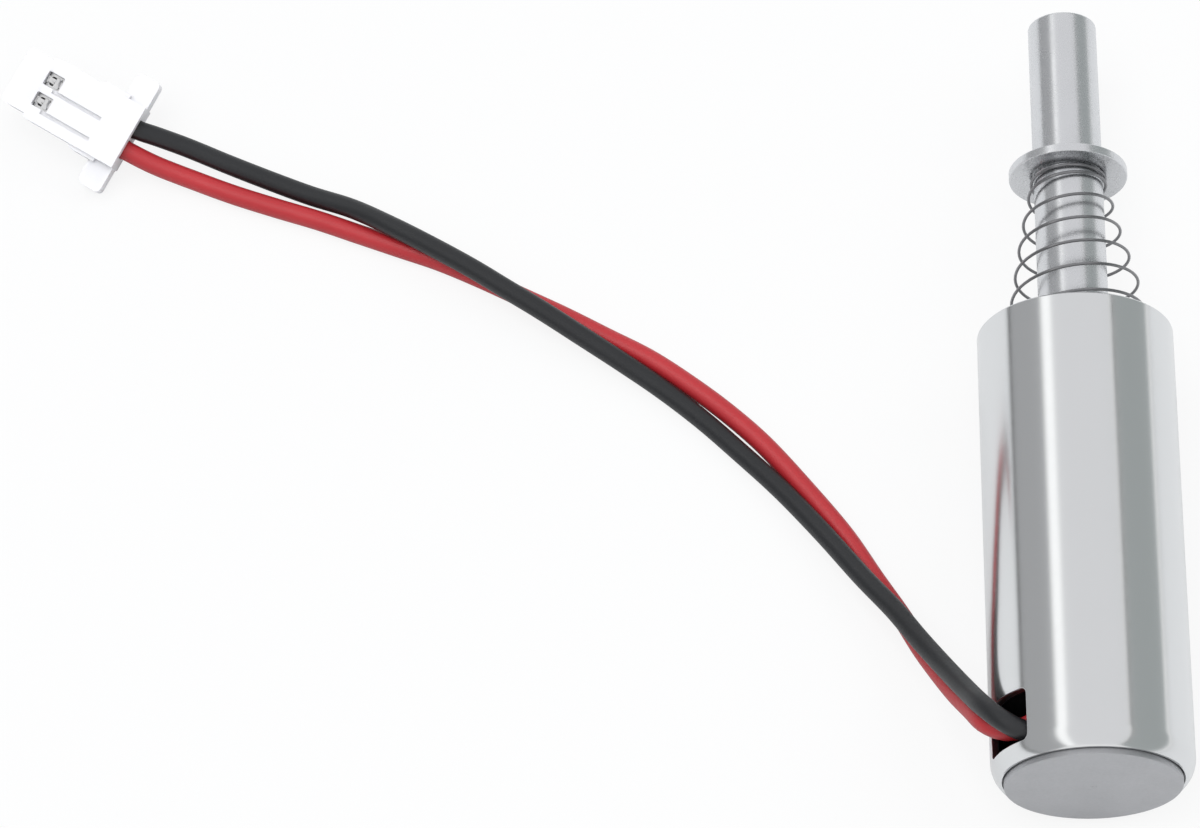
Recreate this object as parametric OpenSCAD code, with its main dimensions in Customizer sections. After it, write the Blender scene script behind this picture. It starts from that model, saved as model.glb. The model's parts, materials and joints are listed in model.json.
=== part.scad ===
// Push pull solenoid: tubular case on its side, plunger towards +Y, leads to a two-way plug at -X.
// The stack is drawn along local +Z from the base plug's outer face, then laid along +Y.

/* [Case] */
// Outer diameter of the case
case_d = 10.0; // [8.8:0.1:13]
// Length of the case, from the rim's end to the front face
case_l = 24.4; // [20:0.1:40]
// Wall of the case, and of the rim turned in over the base plug
case_wall = 0.4; // [0.3:0.05:0.5]
// Thickness of the front wall
front_wall = 1.0; // [0.6:0.1:2]
// Bevel on the front edge
front_bevel = 0.1; // [0.05:0.05:0.3]
// Length over which the rear rim is rolled in
rim_roll_l = 1.05; // [0.8:0.05:1.3]
// How far the rolled rim comes in from the case's side
rim_roll_in = 0.42; // [0.3:0.02:0.5]
// Width of the flat end of the rim
rim_flat = 0.14; // [0.08:0.02:0.3]

/* [Lead window] */
// Width of the window across the case
window_w = 3.3; // [2.8:0.1:4]
// Length of the window along the case
window_l = 2.65; // [2.5:0.05:3.2]
// Distance from the rim's end to the window
window_offset = 0.8; // [0.7:0.05:1.2]
// Corner radius of the window
window_r = 0.3; // [0.1:0.05:0.6]
// Direction of the window about the axis, from +X towards +Z
window_angle = 154.75; // [145:0.25:160]

/* [Base plug and core] */
// How far the plug stands out of the rim
plug_stand = 0.3; // [0.1:0.05:0.6]
// Gap between the plug's disc and the rim
plug_gap = 0.07; // [0.03:0.01:0.15]
// Thickness of the shoulder under the rim
shoulder_t = 0.4; // [0.3:0.05:0.8]
// Bevel on the disc's edge
plug_bevel = 0.08; // [0.02:0.02:0.2]
// Radius of the centre mark
mark_r = 0.15; // [0.05:0.05:0.3]
// Depth of the centre mark
mark_depth = 0.12; // [0.05:0.01:0.3]
// Length of the fixed core in front of the shoulder
core_l = 7.9; // [5:0.1:10]
// Thickness of the shim on the core
shim_t = 0.1; // [0.05:0.05:0.3]

/* [Plunger] */
// Diameter of the plunger
plunger_d = 3.6; // [3:0.1:4.2]
// Distance from the front face to the collar, which is the spring's length
collar_reach = 9.24; // [7:0.02:14]
// Diameter of the collar
collar_d = 6.16; // [5:0.02:8]
// Thickness of the collar
collar_t = 0.47; // [0.3:0.01:1]
// Fillet where the collar meets the rod
collar_fillet_r = 0.05; // [0.05:0.01:0.08]
// Length of the rod beyond the collar
tip_l = 8.74; // [4:0.02:14]
// Edge radius of the rod's two ends
rod_edge_r = 0.15; // [0.05:0.05:0.4]
// Distance that the plunger is pulled in
stroke = 4.0; // [2:0.1:5]

/* [Guide tube] */
// Wall of the guide tube
guide_wall = 0.2; // [0.1:0.05:0.3]
// Running clearance of the plunger in the tube, on the radius
guide_gap = 0.05; // [0.02:0.01:0.08]

/* [Coil] */
// Wall of the bobbin's barrel
bobbin_wall = 0.37; // [0.25:0.01:0.45]
// Thickness of the bobbin's rear flange
rear_flange_t = 0.6; // [0.4:0.1:1]
// Thickness of the bobbin's front flange
front_flange_t = 0.75; // [0.4:0.05:1]
// Gap between the flanges and the case
flange_gap = 0.2; // [0.1:0.05:0.4]
// Thickness of the wound copper
winding_t = 1.48; // [1:0.02:1.5]
// Thickness of the tape over the winding
tape_t = 0.1; // [0.05:0.05:0.2]
// Length of the chamber for the leads behind the bobbin
chamber_l = 2.8; // [2.7:0.1:4]
// Thickness of the rear insulating washer
insulator_t = 0.1; // [0.05:0.05:0.2]
// Gap round the washer, inside and out
insulator_gap = 0.07; // [0.03:0.01:0.1]

/* [Return spring] */
// Diameter of the spring wire
spring_wire_d = 0.16; // [0.12:0.02:0.3]
// Number of turns
spring_turns = 7.0; // [5:0.5:10]
// Turns wound close under the collar
spring_top_turns = 1.0; // [0.5:0.25:2]
// Turns lying flat on the case
spring_bottom_turns = 0.45; // [0.25:0.05:1]
// Pitch of the close turns
spring_close_pitch = 0.39; // [0.32:0.01:0.6]
// Mean radius of the spring at the case
spring_wide_r = 3.36; // [3:0.02:3.8]
// How far the wide turns stand off the axis
spring_sway = 0.19; // [0:0.01:0.4]

/* [Leads] */
// Outer diameter of a lead
lead_d = 1.05; // [0.8:0.05:1.1]
// Diameter of the stranded conductor
conductor_d = 0.38; // [0.3:0.02:0.5]
// Wall of the sleeve over a solder joint
sleeve_wall = 0.09; // [0.05:0.01:0.12]
// Diameter of the solder joint
solder_d = 0.68; // [0.6:0.02:0.8]
// Diameter of the winding's wire where it comes out
tail_d = 0.16; // [0.1:0.02:0.2]
// Distance of the leads from the axis inside the case
wrap_r = 3.5; // [3.3:0.05:3.6]

/* [Connector] */
// Pitch of the two contacts
pitch = 1.25; // [1.25:0.05:1.5]
// Overall length of the housing
housing_l = 6.9; // [6:0.1:9]
// Width of the housing's body
body_w = 3.64; // [3.3:0.02:4.5]
// Height of the housing's body
body_h = 2.6; // [2.3:0.1:3]
// Length of the narrower nose
nose_l = 1.4; // [1:0.1:2]
// Width of the nose
nose_w = 3.2; // [2.9:0.05:3.3]
// Width over the two ears
ear_w = 6.68; // [5.5:0.02:8]
// Length of the ears along the housing
ear_l = 1.35; // [1:0.05:2]
// Width over the ribs next to the ears
rib_w = 4.04; // [3.6:0.02:5]
// Length of the ribs
rib_l = 1.25; // [0.5:0.05:2]
// Height of the ribs
rib_h = 2.2; // [1.5:0.1:2.4]
// Turn of the plug about the vertical
plug_turn = 153.2; // [140:0.2:160]
// How far the stiff leads hold the plug's nose up
plug_pitch = 12; // [0:1:15]
// Roll of the plug about its own length, which rests its rear edge on the body and one ear
plug_roll = 22; // [15:1:25]

/* [Hidden] */
$fn = 96;

// Small play between fitted pieces, end play of stacked ones, and the overrun that keeps cuts clean
fit_gap = 0.02;
end_gap = 0.05;
cut = 1;

// Radii of the stack, from the axis outwards
case_r = case_d / 2;
cavity_r = case_r - case_wall;
rod_r = plunger_d / 2;
guide_inner_r = rod_r + guide_gap;
guide_r = guide_inner_r + guide_wall;
core_r = guide_inner_r - fit_gap;
shim_r = rod_r - guide_gap * 2;
barrel_inner_r = guide_r + 1.5 * fit_gap;
barrel_r = barrel_inner_r + bobbin_wall;
winding_inner_r = barrel_r + fit_gap;
winding_r = winding_inner_r + winding_t;
tape_inner_r = winding_r + fit_gap;
flange_r = cavity_r - flange_gap;
front_bore_r = guide_r + fit_gap;
rim_arc_r = (pow(rim_roll_l, 2) + pow(rim_roll_in, 2)) / (2 * rim_roll_in);
lip_r = case_r - rim_roll_in - rim_flat;
plug_disc_r = lip_r - plug_gap;
shoulder_r = cavity_r - fit_gap;

// Stations along the axis, from the base plug's outer face
rim_s = plug_stand;
lip_s = rim_s + case_wall;
shoulder_s = lip_s + shoulder_t;
insulator_s = shoulder_s + insulator_t;
front_s = rim_s + case_l;
cavity_s = front_s - front_wall;
flange_s = insulator_s + chamber_l;
winding_start_s = flange_s + rear_flange_t + end_gap;
bobbin_front_s = cavity_s - end_gap;
winding_end_s = bobbin_front_s - front_flange_t - end_gap;
core_s = shoulder_s + core_l;
shim_s = core_s + shim_t;
// Air left between the plunger and the shim when the plunger is fully in
end_air = 0.1;
rod_s = shim_s + stroke + end_air;
collar_s = front_s + collar_reach;
tip_s = collar_s + collar_t + tip_l;
overall_l = tip_s;
window_s = rim_s + window_offset + window_l / 2;

// Leads inside the case: red runs in front of black, and each goes round to its own joint
rear_lead_gap = 0.175;
front_lead_gap = 0.275;
black_s = insulator_s + lead_d / 2 + rear_lead_gap;
red_s = flange_s - lead_d / 2 - front_lead_gap;
sleeve_gap = 0.035;
sleeve_inner_r = lead_d / 2 + sleeve_gap;
sleeve_r = sleeve_inner_r + sleeve_wall;
// Angles about the axis, from +X towards +Z: end of the insulation, sleeve, solder joint, coil tail
black_lead_end = 50;
black_sleeve_span = [62, 24];
black_joint_at = 36;
black_tail_at = 16;
red_lead_end = 92;
red_sleeve_span = [104, 66];
red_joint_at = 78;
red_tail_at = 58;
// Notch in the rear flange for a tail
notch_w = 3 * tail_d;
// Air, in degrees, between the end of a lead's insulation and the conductor drawn from there on
strip_air = 0.5;
// How far, in degrees, the conductor reaches past the middle of its solder joint
conductor_into_joint = 2;
// Air, in degrees, between the conductor's end and the coil's tail in the joint
joint_air = 0.3;
// How far, in degrees, the tail runs past its corner
tail_corner_turn = 1.5;

// Plug: centre of its rear face, and the height at which that face's edge rests on body and ear
plug_centre = [-49.47, 15.87];
plug_rest_gap = 0.005;
ear_h = body_h - 2 * (ear_w - body_w) / 2 * tan(plug_roll);
plug_z = (body_w / 2 * sin(plug_roll) + body_h / 2 * cos(plug_roll)) * cos(plug_pitch) + plug_rest_gap;
// Cavities, contact windows and slots of the housing
cavity_rear = [2.6, 1.1, 1.2];
cavity_front_w = 0.95;
cavity_front_h = 1.1;
cavity_wall = 0.35;
pin_hole = 0.6;
contact_window = [4.44, 0.96, 0.8];
slot_start = 1.77;
slot_l = 2.97;
slot_w = 0.22;
slot_depth = 0.3;
// Contacts: box, crimp, and where the lead's insulation and its conductor end
contact_start = 2.45;
contact_l = 3.9;
contact_w = 0.8;
contact_h = 0.85;
contact_wall = 0.1;
crimp_start = 1.0;
crimp_r = 0.3;
insulation_into_plug = 0.9;
conductor_into_plug = 2.2;

// Leads: points of each route between the plug and the wrap round the bobbin
lead_sides = 8;
black_route = [
    [-48.05, 16.1, 1.8], [-46.45, 15.65, 1.45], [-44.25, 14.85, 1.1], [-42.0, 14.0, 0.9],
    [-39.8, 13.15, 0.85], [-37.6, 12.25, 1.15], [-35.5, 11.0, 1.6], [-33.4, 9.8, 1.7],
    [-31.2, 8.5, 1.7], [-29.3, 7.3, 1.6], [-27.4, 6.1, 1.5], [-25.4, 4.8, 1.3],
    [-23.2, 3.4, 1.0], [-21.1, 2.0, 0.7], [-19.0, 0.3, 0.6], [-17.0, -1.6, 0.6],
    [-14.9, -3.8, 0.8], [-12.8, -6.4, 1.2], [-10.9, -9.0, 1.7],
    [-9.35, -11.05, 2.25], [-8.15, -13.05, 3.05], [-7.05, -15.0, 4.2], [-6.15, -16.8, 5.65],
    [-5.46, -18.26, 7.09], [-4.62, -19.26, 7.74], [-3.6, -19.78, 7.73], [-2.56, -19.79, 7.72],
];
red_route = [
    [-48.15, 14.7, 1.2], [-46.0, 14.0, 0.8], [-43.9, 13.25, 0.65], [-41.6, 12.5, 0.6],
    [-39.4, 11.8, 0.6], [-37.2, 11.0, 0.6], [-35.0, 10.2, 0.6], [-32.8, 9.4, 0.6],
    [-30.6, 8.4, 0.6], [-28.4, 7.3, 0.6], [-26.2, 6.2, 0.6], [-24.0, 5.0, 0.6],
    [-21.8, 3.8, 0.6], [-19.8, 2.4, 0.6], [-17.8, 0.8, 0.6], [-15.8, -1.1, 0.6],
    [-13.7, -3.6, 0.6], [-11.7, -6.2, 0.6], [-10.2, -8.7, 0.75],
    [-8.85, -10.95, 1.0], [-7.95, -12.9, 1.6], [-7.15, -14.65, 2.55], [-6.45, -16.2, 3.65],
    [-5.85, -17.55, 4.95], [-5.35, -18.65, 6.0], [-4.62, -19.17, 6.36], [-3.93, -19.29, 6.58],
    [-3.19, -19.14, 6.87], [-2.53, -18.7, 7.34],
];
wrap_start = 118;
wrap_step = 9;

// Spring: the narrow turns, where the cone and the sway start and end, its lean and its seat at each end
spring_bore_gap = 0.05;
spring_narrow_r = rod_r + spring_bore_gap + spring_wire_d / 2;
cone_start_turn = 1.0;
cone_end_turn = 5.5;
sway_start_turn = 3.0;
spring_lean = 0.038;
lean_fade = [0.8, 0.2];
spring_seat_gap = 0.01;
ramp_w = 0.4;
spring_steps = 24;
spring_sides = 8;

nickel = [0.74, 0.75, 0.76];
steel = [0.68, 0.68, 0.69];
spring_steel = [0.35, 0.35, 0.36];
brass = [0.80, 0.65, 0.35];
copper = [0.72, 0.38, 0.20];
tinned = [0.80, 0.80, 0.78];
black_plastic = [0.08, 0.08, 0.09];
black_pvc = [0.08, 0.09, 0.10];
red_pvc = [0.69, 0.15, 0.17];
amber = [0.78, 0.55, 0.20];
white_nylon = [0.86, 0.86, 0.87];

// ---- helpers ----

// Turns the stack, drawn along +Z, so that it lies on its side along +Y
module laid_down() translate([0, -overall_l / 2, case_r]) rotate([-90, 0, 0]) children();

// A ring of the stack between two stations
module ring(outer_r, inner_r, from_s, to_s)
    translate([0, 0, from_s])
        difference() {
            cylinder(r = outer_r, h = to_s - from_s);
            translate([0, 0, -cut]) cylinder(r = inner_r, h = to_s - from_s + 2 * cut);
        }

// A round bar bent about the axis, between two angles counted from +X towards +Z
module bent_bar(bar_r, at_s, from_angle, to_angle)
    translate([0, 0, at_s])
        rotate([0, 0, -from_angle])
            rotate_extrude(angle = from_angle - to_angle)
                translate([wrap_r, 0]) circle(r = bar_r);

// Moves a piece drawn at the origin to a place on the leads' wrap
module on_wrap(angle, at_s) rotate([0, 0, -angle]) translate([wrap_r, 0, at_s]) children();

// A point of the leads' wrap, in the part's own frame
function wrap_point(angle, s) = [wrap_r * cos(angle), s - overall_l / 2, case_r + wrap_r * sin(angle)];

// The wrap's points between two angles, a step of about wrap_step apart
function wrap_points(start, end, s) =
    let (steps = ceil((start - end) / wrap_step))
        [for (i = [0 : steps]) wrap_point(start + (end - start) * i / steps, s)];

function unit(v) = v / norm(v);

// Direction of a line of points at point i
function heading(p, i) =
    i == 0 ? unit(p[1] - p[0])
    : i == len(p) - 1 ? unit(p[i] - p[i - 1])
    : unit(unit(p[i] - p[i - 1]) + unit(p[i + 1] - p[i]));

// A tube along a line of points, each ring held upright to the given direction
module tube_along(points, d, sides, upright) {
    count = len(points);
    rings = [
        for (i = [0 : count - 1])
            let (t = heading(points, i), side = unit(cross(t, upright)), top = cross(side, t))
                for (k = [0 : sides - 1])
                    let (a = 360 * (k + 0.5) / sides)
                        points[i] + d / 2 * (cos(a) * side + sin(a) * top)
    ];
    start_cap = [for (k = [0 : sides - 1]) k];
    end_cap = [for (k = [sides - 1 : -1 : 0]) (count - 1) * sides + k];
    walls = [
        for (i = [0 : count - 2], k = [0 : sides - 1])
            let (a = i * sides + k, b = i * sides + (k + 1) % sides)
                [a, a + sides, b + sides, b]
    ];
    polyhedron(points = rings, faces = concat([start_cap, end_cap], walls));
}

// ---- the case and what it holds ----

module rim_outline()
    intersection() {
        translate([case_r - rim_arc_r, rim_s + rim_roll_l]) circle(r = rim_arc_r);
        translate([0, rim_s]) square([case_r, rim_roll_l]);
    }

module case_outline() {
    rim_outline();
    translate([0, rim_s]) square([case_r - rim_arc_r, rim_roll_l]);
    translate([0, rim_s + rim_roll_l])
        polygon([
            [0, 0],
            [case_r, 0],
            [case_r, case_l - rim_roll_l - front_bevel],
            [case_r - front_bevel, case_l - rim_roll_l],
            [0, case_l - rim_roll_l],
        ]);
}

module window_outline()
    for (turn = [0, 90])
        let (l = turn == 0 ? window_l : window_w, w = turn == 0 ? window_w : window_l)
            rotate(turn) {
                square([l - 2 * window_r, w], center = true);
                for (x = [-1, 1], y = [-1, 1])
                    translate([x * (l / 2 - window_r), y * (w / 2 - window_r)]) circle(r = window_r);
            }

module case_shell()
    color(nickel)
        laid_down()
            difference() {
                rotate_extrude()
                    difference() {
                        case_outline();
                        translate([0, lip_s]) square([cavity_r, cavity_s - lip_s]);
                        translate([0, rim_s - cut]) square([lip_r, case_wall + 2 * cut]);
                        translate([0, cavity_s - cut]) square([front_bore_r, front_wall + 2 * cut]);
                    }
                translate([0, 0, window_s])
                    rotate([0, 0, -window_angle])
                        rotate([0, 90, 0])
                            translate([0, 0, case_r / 2])
                                linear_extrude(height = case_r) window_outline();
            }

module base_plug()
    color(steel)
        laid_down()
            difference() {
                rotate_extrude()
                    polygon([
                        [0, 0],
                        [plug_disc_r - plug_bevel, 0],
                        [plug_disc_r, plug_bevel],
                        [plug_disc_r, lip_s],
                        [shoulder_r, lip_s],
                        [shoulder_r, shoulder_s],
                        [core_r, shoulder_s],
                        [core_r, core_s],
                        [0, core_s],
                    ]);
                translate([0, 0, -mark_depth])
                    cylinder(r1 = 2 * mark_r, r2 = 0, h = 2 * mark_depth);
            }

module rear_insulator()
    color(black_plastic)
        laid_down() ring(shoulder_r - insulator_gap, core_r + insulator_gap, shoulder_s, insulator_s);

module pole_shim() color(brass) laid_down() translate([0, 0, core_s]) cylinder(r = shim_r, h = shim_t);

module guide_tube() color(brass) laid_down() ring(guide_r, guide_inner_r, insulator_s + 2 * end_gap, front_s);

module flange_notch(angle)
    rotate([0, 0, -angle])
        translate([wrap_r - tail_d, -notch_w / 2, flange_s - cut])
            cube([case_r, notch_w, rear_flange_t + 2 * cut]);

module bobbin()
    color(black_plastic)
        laid_down() {
            ring(barrel_r, barrel_inner_r, insulator_s + end_gap, bobbin_front_s);
            difference() {
                ring(flange_r, barrel_inner_r, flange_s, flange_s + rear_flange_t);
                flange_notch(black_tail_at);
                flange_notch(red_tail_at);
            }
            ring(flange_r, barrel_inner_r, bobbin_front_s - front_flange_t, bobbin_front_s);
        }

module coil_winding()
    color(copper)
        laid_down() ring(winding_r, winding_inner_r, winding_start_s, winding_end_s);

module coil_tape()
    color(amber)
        laid_down() ring(tape_inner_r + tape_t, tape_inner_r, winding_start_s, winding_end_s);

// ---- the moving plunger and its spring ----

module rod_outline() {
    translate([0, rod_s + rod_edge_r]) square([rod_r, tip_s - rod_s - 2 * rod_edge_r]);
    translate([0, rod_s]) square([rod_r - rod_edge_r, tip_s - rod_s]);
    for (s = [rod_s + rod_edge_r, tip_s - rod_edge_r])
        translate([rod_r - rod_edge_r, s]) circle(r = rod_edge_r);
}

// Fills the corner at the origin between a wall along +Y and a face along +X
module root_fillet(r)
    difference() {
        translate([-r, -r]) square(2 * r);
        translate([r, r]) circle(r = r);
    }

module plunger()
    color(steel)
        laid_down()
            rotate_extrude() {
                rod_outline();
                translate([0, collar_s]) square([collar_d / 2, collar_t]);
                translate([rod_r, collar_s]) mirror([0, 1]) root_fillet(collar_fillet_r);
                translate([rod_r, collar_s + collar_t]) root_fillet(collar_fillet_r);
            }

// A smooth ramp: flat below 0, bending over ramp_w, then rising one for one
function ramp(x) = x <= 0 ? 0 : x < ramp_w ? x * x / (2 * ramp_w) : x - ramp_w / 2;

spring_fall = collar_reach - spring_wire_d - 2 * spring_seat_gap;
spring_bottom_turn = spring_turns - spring_bottom_turns;
open_pitch = (spring_fall - spring_close_pitch * spring_turns)
    / (ramp(spring_turns - spring_top_turns) - ramp(spring_turns - spring_bottom_turn));

// Distance of the wire's centre below the collar seat after n turns
function spring_drop(n) =
    spring_close_pitch * n + open_pitch * (ramp(n - spring_top_turns) - ramp(n - spring_bottom_turn));

// Share of the way from one turn to another, from 0 to 1
function share(n, start, end) = min(1, max(0, (n - start) / (end - start)));

function spring_r(n) =
    spring_narrow_r + (spring_wide_r - spring_narrow_r) * share(n, cone_start_turn, cone_end_turn);

// Sideways place of the turns' middle
function spring_mid(n) = spring_sway * share(n, sway_start_turn, cone_end_turn);

// Fades the lean out over the turns at each end
function lean_share(n) =
    let (fade_end = spring_turns - lean_fade[1])
        share(n, lean_fade[0], lean_fade[0] + 1) * (1 - share(n, fade_end - 1, fade_end));

function spring_point(n) =
    let (x = spring_r(n) * cos(360 * n), y = -spring_r(n) * sin(360 * n))
        [
            x + spring_mid(n),
            y,
            collar_s - spring_wire_d / 2 - spring_seat_gap - spring_drop(n) + spring_lean * x * lean_share(n),
        ];

module return_spring()
    color(spring_steel)
        laid_down()
            tube_along(
                [for (i = [0 : spring_steps * spring_turns]) spring_point(i / spring_steps)],
                spring_wire_d, spring_sides, [0, 0, 1]
            );

// ---- the leads and their ends ----

// Places what is drawn with the plug's length along +X and its rear face at the origin
module in_plug()
    translate([plug_centre.x, plug_centre.y, plug_z])
        rotate([-plug_roll, -plug_pitch, plug_turn])
            children();

// A point of the plug's contact row, x in front of its rear face, in the part's own frame
function plug_point(x, y) =
    let (
        across = y * cos(plug_roll),
        sunk = y * sin(plug_roll),
        ahead = x * cos(plug_pitch) + sunk * sin(plug_pitch)
    )
        [
            plug_centre.x + ahead * cos(plug_turn) - across * sin(plug_turn),
            plug_centre.y + ahead * sin(plug_turn) + across * cos(plug_turn),
            plug_z + x * sin(plug_pitch) - sunk * cos(plug_pitch),
        ];

function lead_points(row_y, route, wrap_end, s) =
    concat(
        [plug_point(insulation_into_plug, row_y), plug_point(0, row_y)],
        route,
        wrap_points(wrap_start, wrap_end, s)
    );

module black_lead()
    color(black_pvc)
        tube_along(
            lead_points(-pitch / 2, black_route, black_lead_end, black_s),
            lead_d, lead_sides, [0, 0, 1]
        );

module red_lead()
    color(red_pvc)
        tube_along(
            lead_points(pitch / 2, red_route, red_lead_end, red_s),
            lead_d, lead_sides, [0, 0, 1]
        );

// The two stripped ends of a lead: one in the crimp, one in the solder joint
module conductor(row_y, lead_end, joint_at, at_s) {
    in_plug()
        translate([insulation_into_plug, row_y, 0])
            rotate([0, 90, 0])
                cylinder(r = conductor_d / 2, h = conductor_into_plug - insulation_into_plug);
    laid_down() bent_bar(conductor_d / 2, at_s, lead_end - strip_air, joint_at - conductor_into_joint);
}

module black_conductor() color(tinned) conductor(-pitch / 2, black_lead_end, black_joint_at, black_s);

module red_conductor() color(tinned) conductor(pitch / 2, red_lead_end, red_joint_at, red_s);

module sleeve(span, at_s)
    laid_down()
        difference() {
            bent_bar(sleeve_r, at_s, span[0], span[1]);
            bent_bar(sleeve_inner_r, at_s, span[0] + cut, span[1] - cut);
        }

module black_sleeve() color(black_plastic) sleeve(black_sleeve_span, black_s);

module red_sleeve() color(black_plastic) sleeve(red_sleeve_span, red_s);

// Solder over the end of the conductor and the start of the coil's tail
module solder_joint(lead_end, joint_at, at_s, tail_at)
    laid_down()
        difference() {
            on_wrap(joint_at, at_s) sphere(r = solder_d / 2);
            bent_bar(
                conductor_d / 2 + fit_gap / 2, at_s,
                lead_end, joint_at - conductor_into_joint - joint_air / 2
            );
            bent_bar(tail_d / 2 + fit_gap / 2, at_s, joint_at - conductor_into_joint, tail_at);
        }

module black_joint() color(tinned) solder_joint(black_lead_end, black_joint_at, black_s, black_tail_at);

module red_joint() color(tinned) solder_joint(red_lead_end, red_joint_at, red_s, red_tail_at);

// The winding's end: from the solder joint round the chamber, then forward through the flange
module coil_tail(joint_at, tail_at, at_s)
    laid_down() {
        bent_bar(tail_d / 2, at_s, joint_at - conductor_into_joint - joint_air, tail_at - tail_corner_turn);
        on_wrap(tail_at, at_s - tail_d / 2)
            cylinder(r = tail_d / 2, h = winding_start_s - at_s + tail_d / 2);
    }

module black_coil_tail() color(copper) coil_tail(black_joint_at, black_tail_at, black_s);

module red_coil_tail() color(copper) coil_tail(red_joint_at, red_tail_at, red_s);

// ---- the plug ----

// A block centred on the plug's length, from x onwards
module plug_block(x, l, w, h) translate([x, -w / 2, -h / 2]) cube([l, w, h]);

module contact_cavity(row_y)
    translate([0, row_y, 0]) {
        plug_block(-cut, cavity_rear.x + cut, cavity_rear.y, cavity_rear.z);
        plug_block(-cut, housing_l - cavity_wall + cut, cavity_front_w, cavity_front_h);
        plug_block(0, housing_l + cut, pin_hole, pin_hole);
        translate([contact_window.x, -contact_window.z / 2, 0])
            cube([contact_window.y, contact_window.z, body_h]);
        translate([slot_start, contact_window.z / 2, body_h / 2 - slot_depth])
            cube([slot_l, slot_w, slot_depth + cut]);
    }

module connector_housing()
    color(white_nylon)
        in_plug()
            difference() {
                union() {
                    plug_block(0, ear_l, ear_w, ear_h);
                    plug_block(ear_l, rib_l, rib_w, rib_h);
                    plug_block(0, housing_l - nose_l, body_w, body_h);
                    plug_block(housing_l - nose_l, nose_l, nose_w, body_h);
                }
                for (side = [-1, 1]) contact_cavity(side * pitch / 2);
            }

// A crimp contact: a box open at both ends, and a barrel closed round the conductor
module terminal(row_y)
    in_plug()
        translate([0, row_y, 0]) {
            difference() {
                plug_block(contact_start, contact_l, contact_w, contact_h);
                plug_block(
                    contact_start + contact_wall, contact_l,
                    contact_w - 2 * contact_wall, contact_h - 2 * contact_wall
                );
            }
            difference() {
                translate([crimp_start, 0, 0])
                    rotate([0, 90, 0]) cylinder(r = crimp_r, h = contact_start - crimp_start);
                translate([crimp_start - cut, 0, 0])
                    rotate([0, 90, 0])
                        cylinder(
                            r = conductor_d / 2 + fit_gap / 2,
                            h = conductor_into_plug - crimp_start + cut
                        );
            }
        }

module black_terminal() color(tinned) terminal(-pitch / 2);

module red_terminal() color(tinned) terminal(pitch / 2);

case_shell();
base_plug();
rear_insulator();
pole_shim();
guide_tube();
bobbin();
coil_winding();
coil_tape();
plunger();
return_spring();
black_lead();
red_lead();
black_conductor();
red_conductor();
black_sleeve();
red_sleeve();
black_joint();
red_joint();
black_coil_tail();
red_coil_tail();
connector_housing();
black_terminal();
red_terminal();
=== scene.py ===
"""Push pull solenoid: meshes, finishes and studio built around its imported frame.

The CAD nodes that show are replaced by finely made meshes of the same size, each with small edge
rounds and its own corner normals. The pieces inside the case keep their CAD meshes and are dressed.
Everything is in metres in the part's own frame: the solenoid's axis runs along +Y, the floor is z = 0.
"""

import json
import logging
import math
from dataclasses import dataclass, field
from enum import Enum
from typing import Callable, Iterable, Optional, Sequence, Union

import bmesh
import bpy
from mathutils import Matrix, Vector
from mathutils.geometry import delaunay_2d_cdt


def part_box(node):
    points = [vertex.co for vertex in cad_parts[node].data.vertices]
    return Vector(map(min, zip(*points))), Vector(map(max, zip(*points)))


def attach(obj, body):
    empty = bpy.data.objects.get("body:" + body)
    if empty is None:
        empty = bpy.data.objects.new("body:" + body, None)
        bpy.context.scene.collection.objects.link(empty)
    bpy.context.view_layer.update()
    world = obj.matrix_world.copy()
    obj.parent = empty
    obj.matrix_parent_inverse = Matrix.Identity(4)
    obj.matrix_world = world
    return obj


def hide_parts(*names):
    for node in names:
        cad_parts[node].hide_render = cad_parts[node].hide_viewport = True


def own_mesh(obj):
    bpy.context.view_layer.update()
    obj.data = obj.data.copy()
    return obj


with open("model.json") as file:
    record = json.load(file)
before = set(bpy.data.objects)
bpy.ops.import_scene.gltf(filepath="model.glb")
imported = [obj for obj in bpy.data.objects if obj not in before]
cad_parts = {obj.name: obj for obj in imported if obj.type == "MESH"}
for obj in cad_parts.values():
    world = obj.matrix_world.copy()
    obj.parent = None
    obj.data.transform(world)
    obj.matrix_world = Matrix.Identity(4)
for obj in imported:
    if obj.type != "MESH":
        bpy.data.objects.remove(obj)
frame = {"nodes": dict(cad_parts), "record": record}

LOG = logging.getLogger("solenoid")
MM = 0.001
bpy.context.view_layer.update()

Colour = tuple[float, float, float]
Point = tuple[float, float, float]
Value = Union[float, "Sock"]


# ---------------------------------------------------------------------------
# The frame: where the CAD says that things are
# ---------------------------------------------------------------------------


class Body(Enum):
    """The bodies of the mechanism."""

    CASE = "case"
    PLUNGER = "plunger"


def mount(name: str) -> dict:
    """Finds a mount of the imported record.

    Args:
        name: The mount's name.

    Returns:
        The mount's entry.
    """
    return next(entry for entry in frame["record"]["mounts"] if entry["name"] == name)


@dataclass(frozen=True)
class Stack:
    """The solenoid's axis: where it lies, and stations along it from the base plug's outer face."""

    axis_z: float
    back_y: float

    @classmethod
    def from_frame(cls) -> "Stack":
        """Reads the axis from the case's box and the base plug's box."""
        low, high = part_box("case_shell")
        return cls(axis_z=(low.z + high.z) / 2, back_y=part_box("base_plug")[0].y)

    def point(self, radius: float, angle: float, station: float) -> Vector:
        """Gives the place at a radius, an angle from +X towards +Z, and a station."""
        return Vector((radius * math.cos(angle), self.back_y + station, self.axis_z + radius * math.sin(angle)))

    def direction(self, out: float, angle: float, along: float) -> Vector:
        """Gives a direction from its part away from the axis and its part along it."""
        return Vector((out * math.cos(angle), along, out * math.sin(angle)))

    def station(self, y: float) -> float:
        """Gives the station of a place along Y."""
        return y - self.back_y


STACK = Stack.from_frame()


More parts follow.
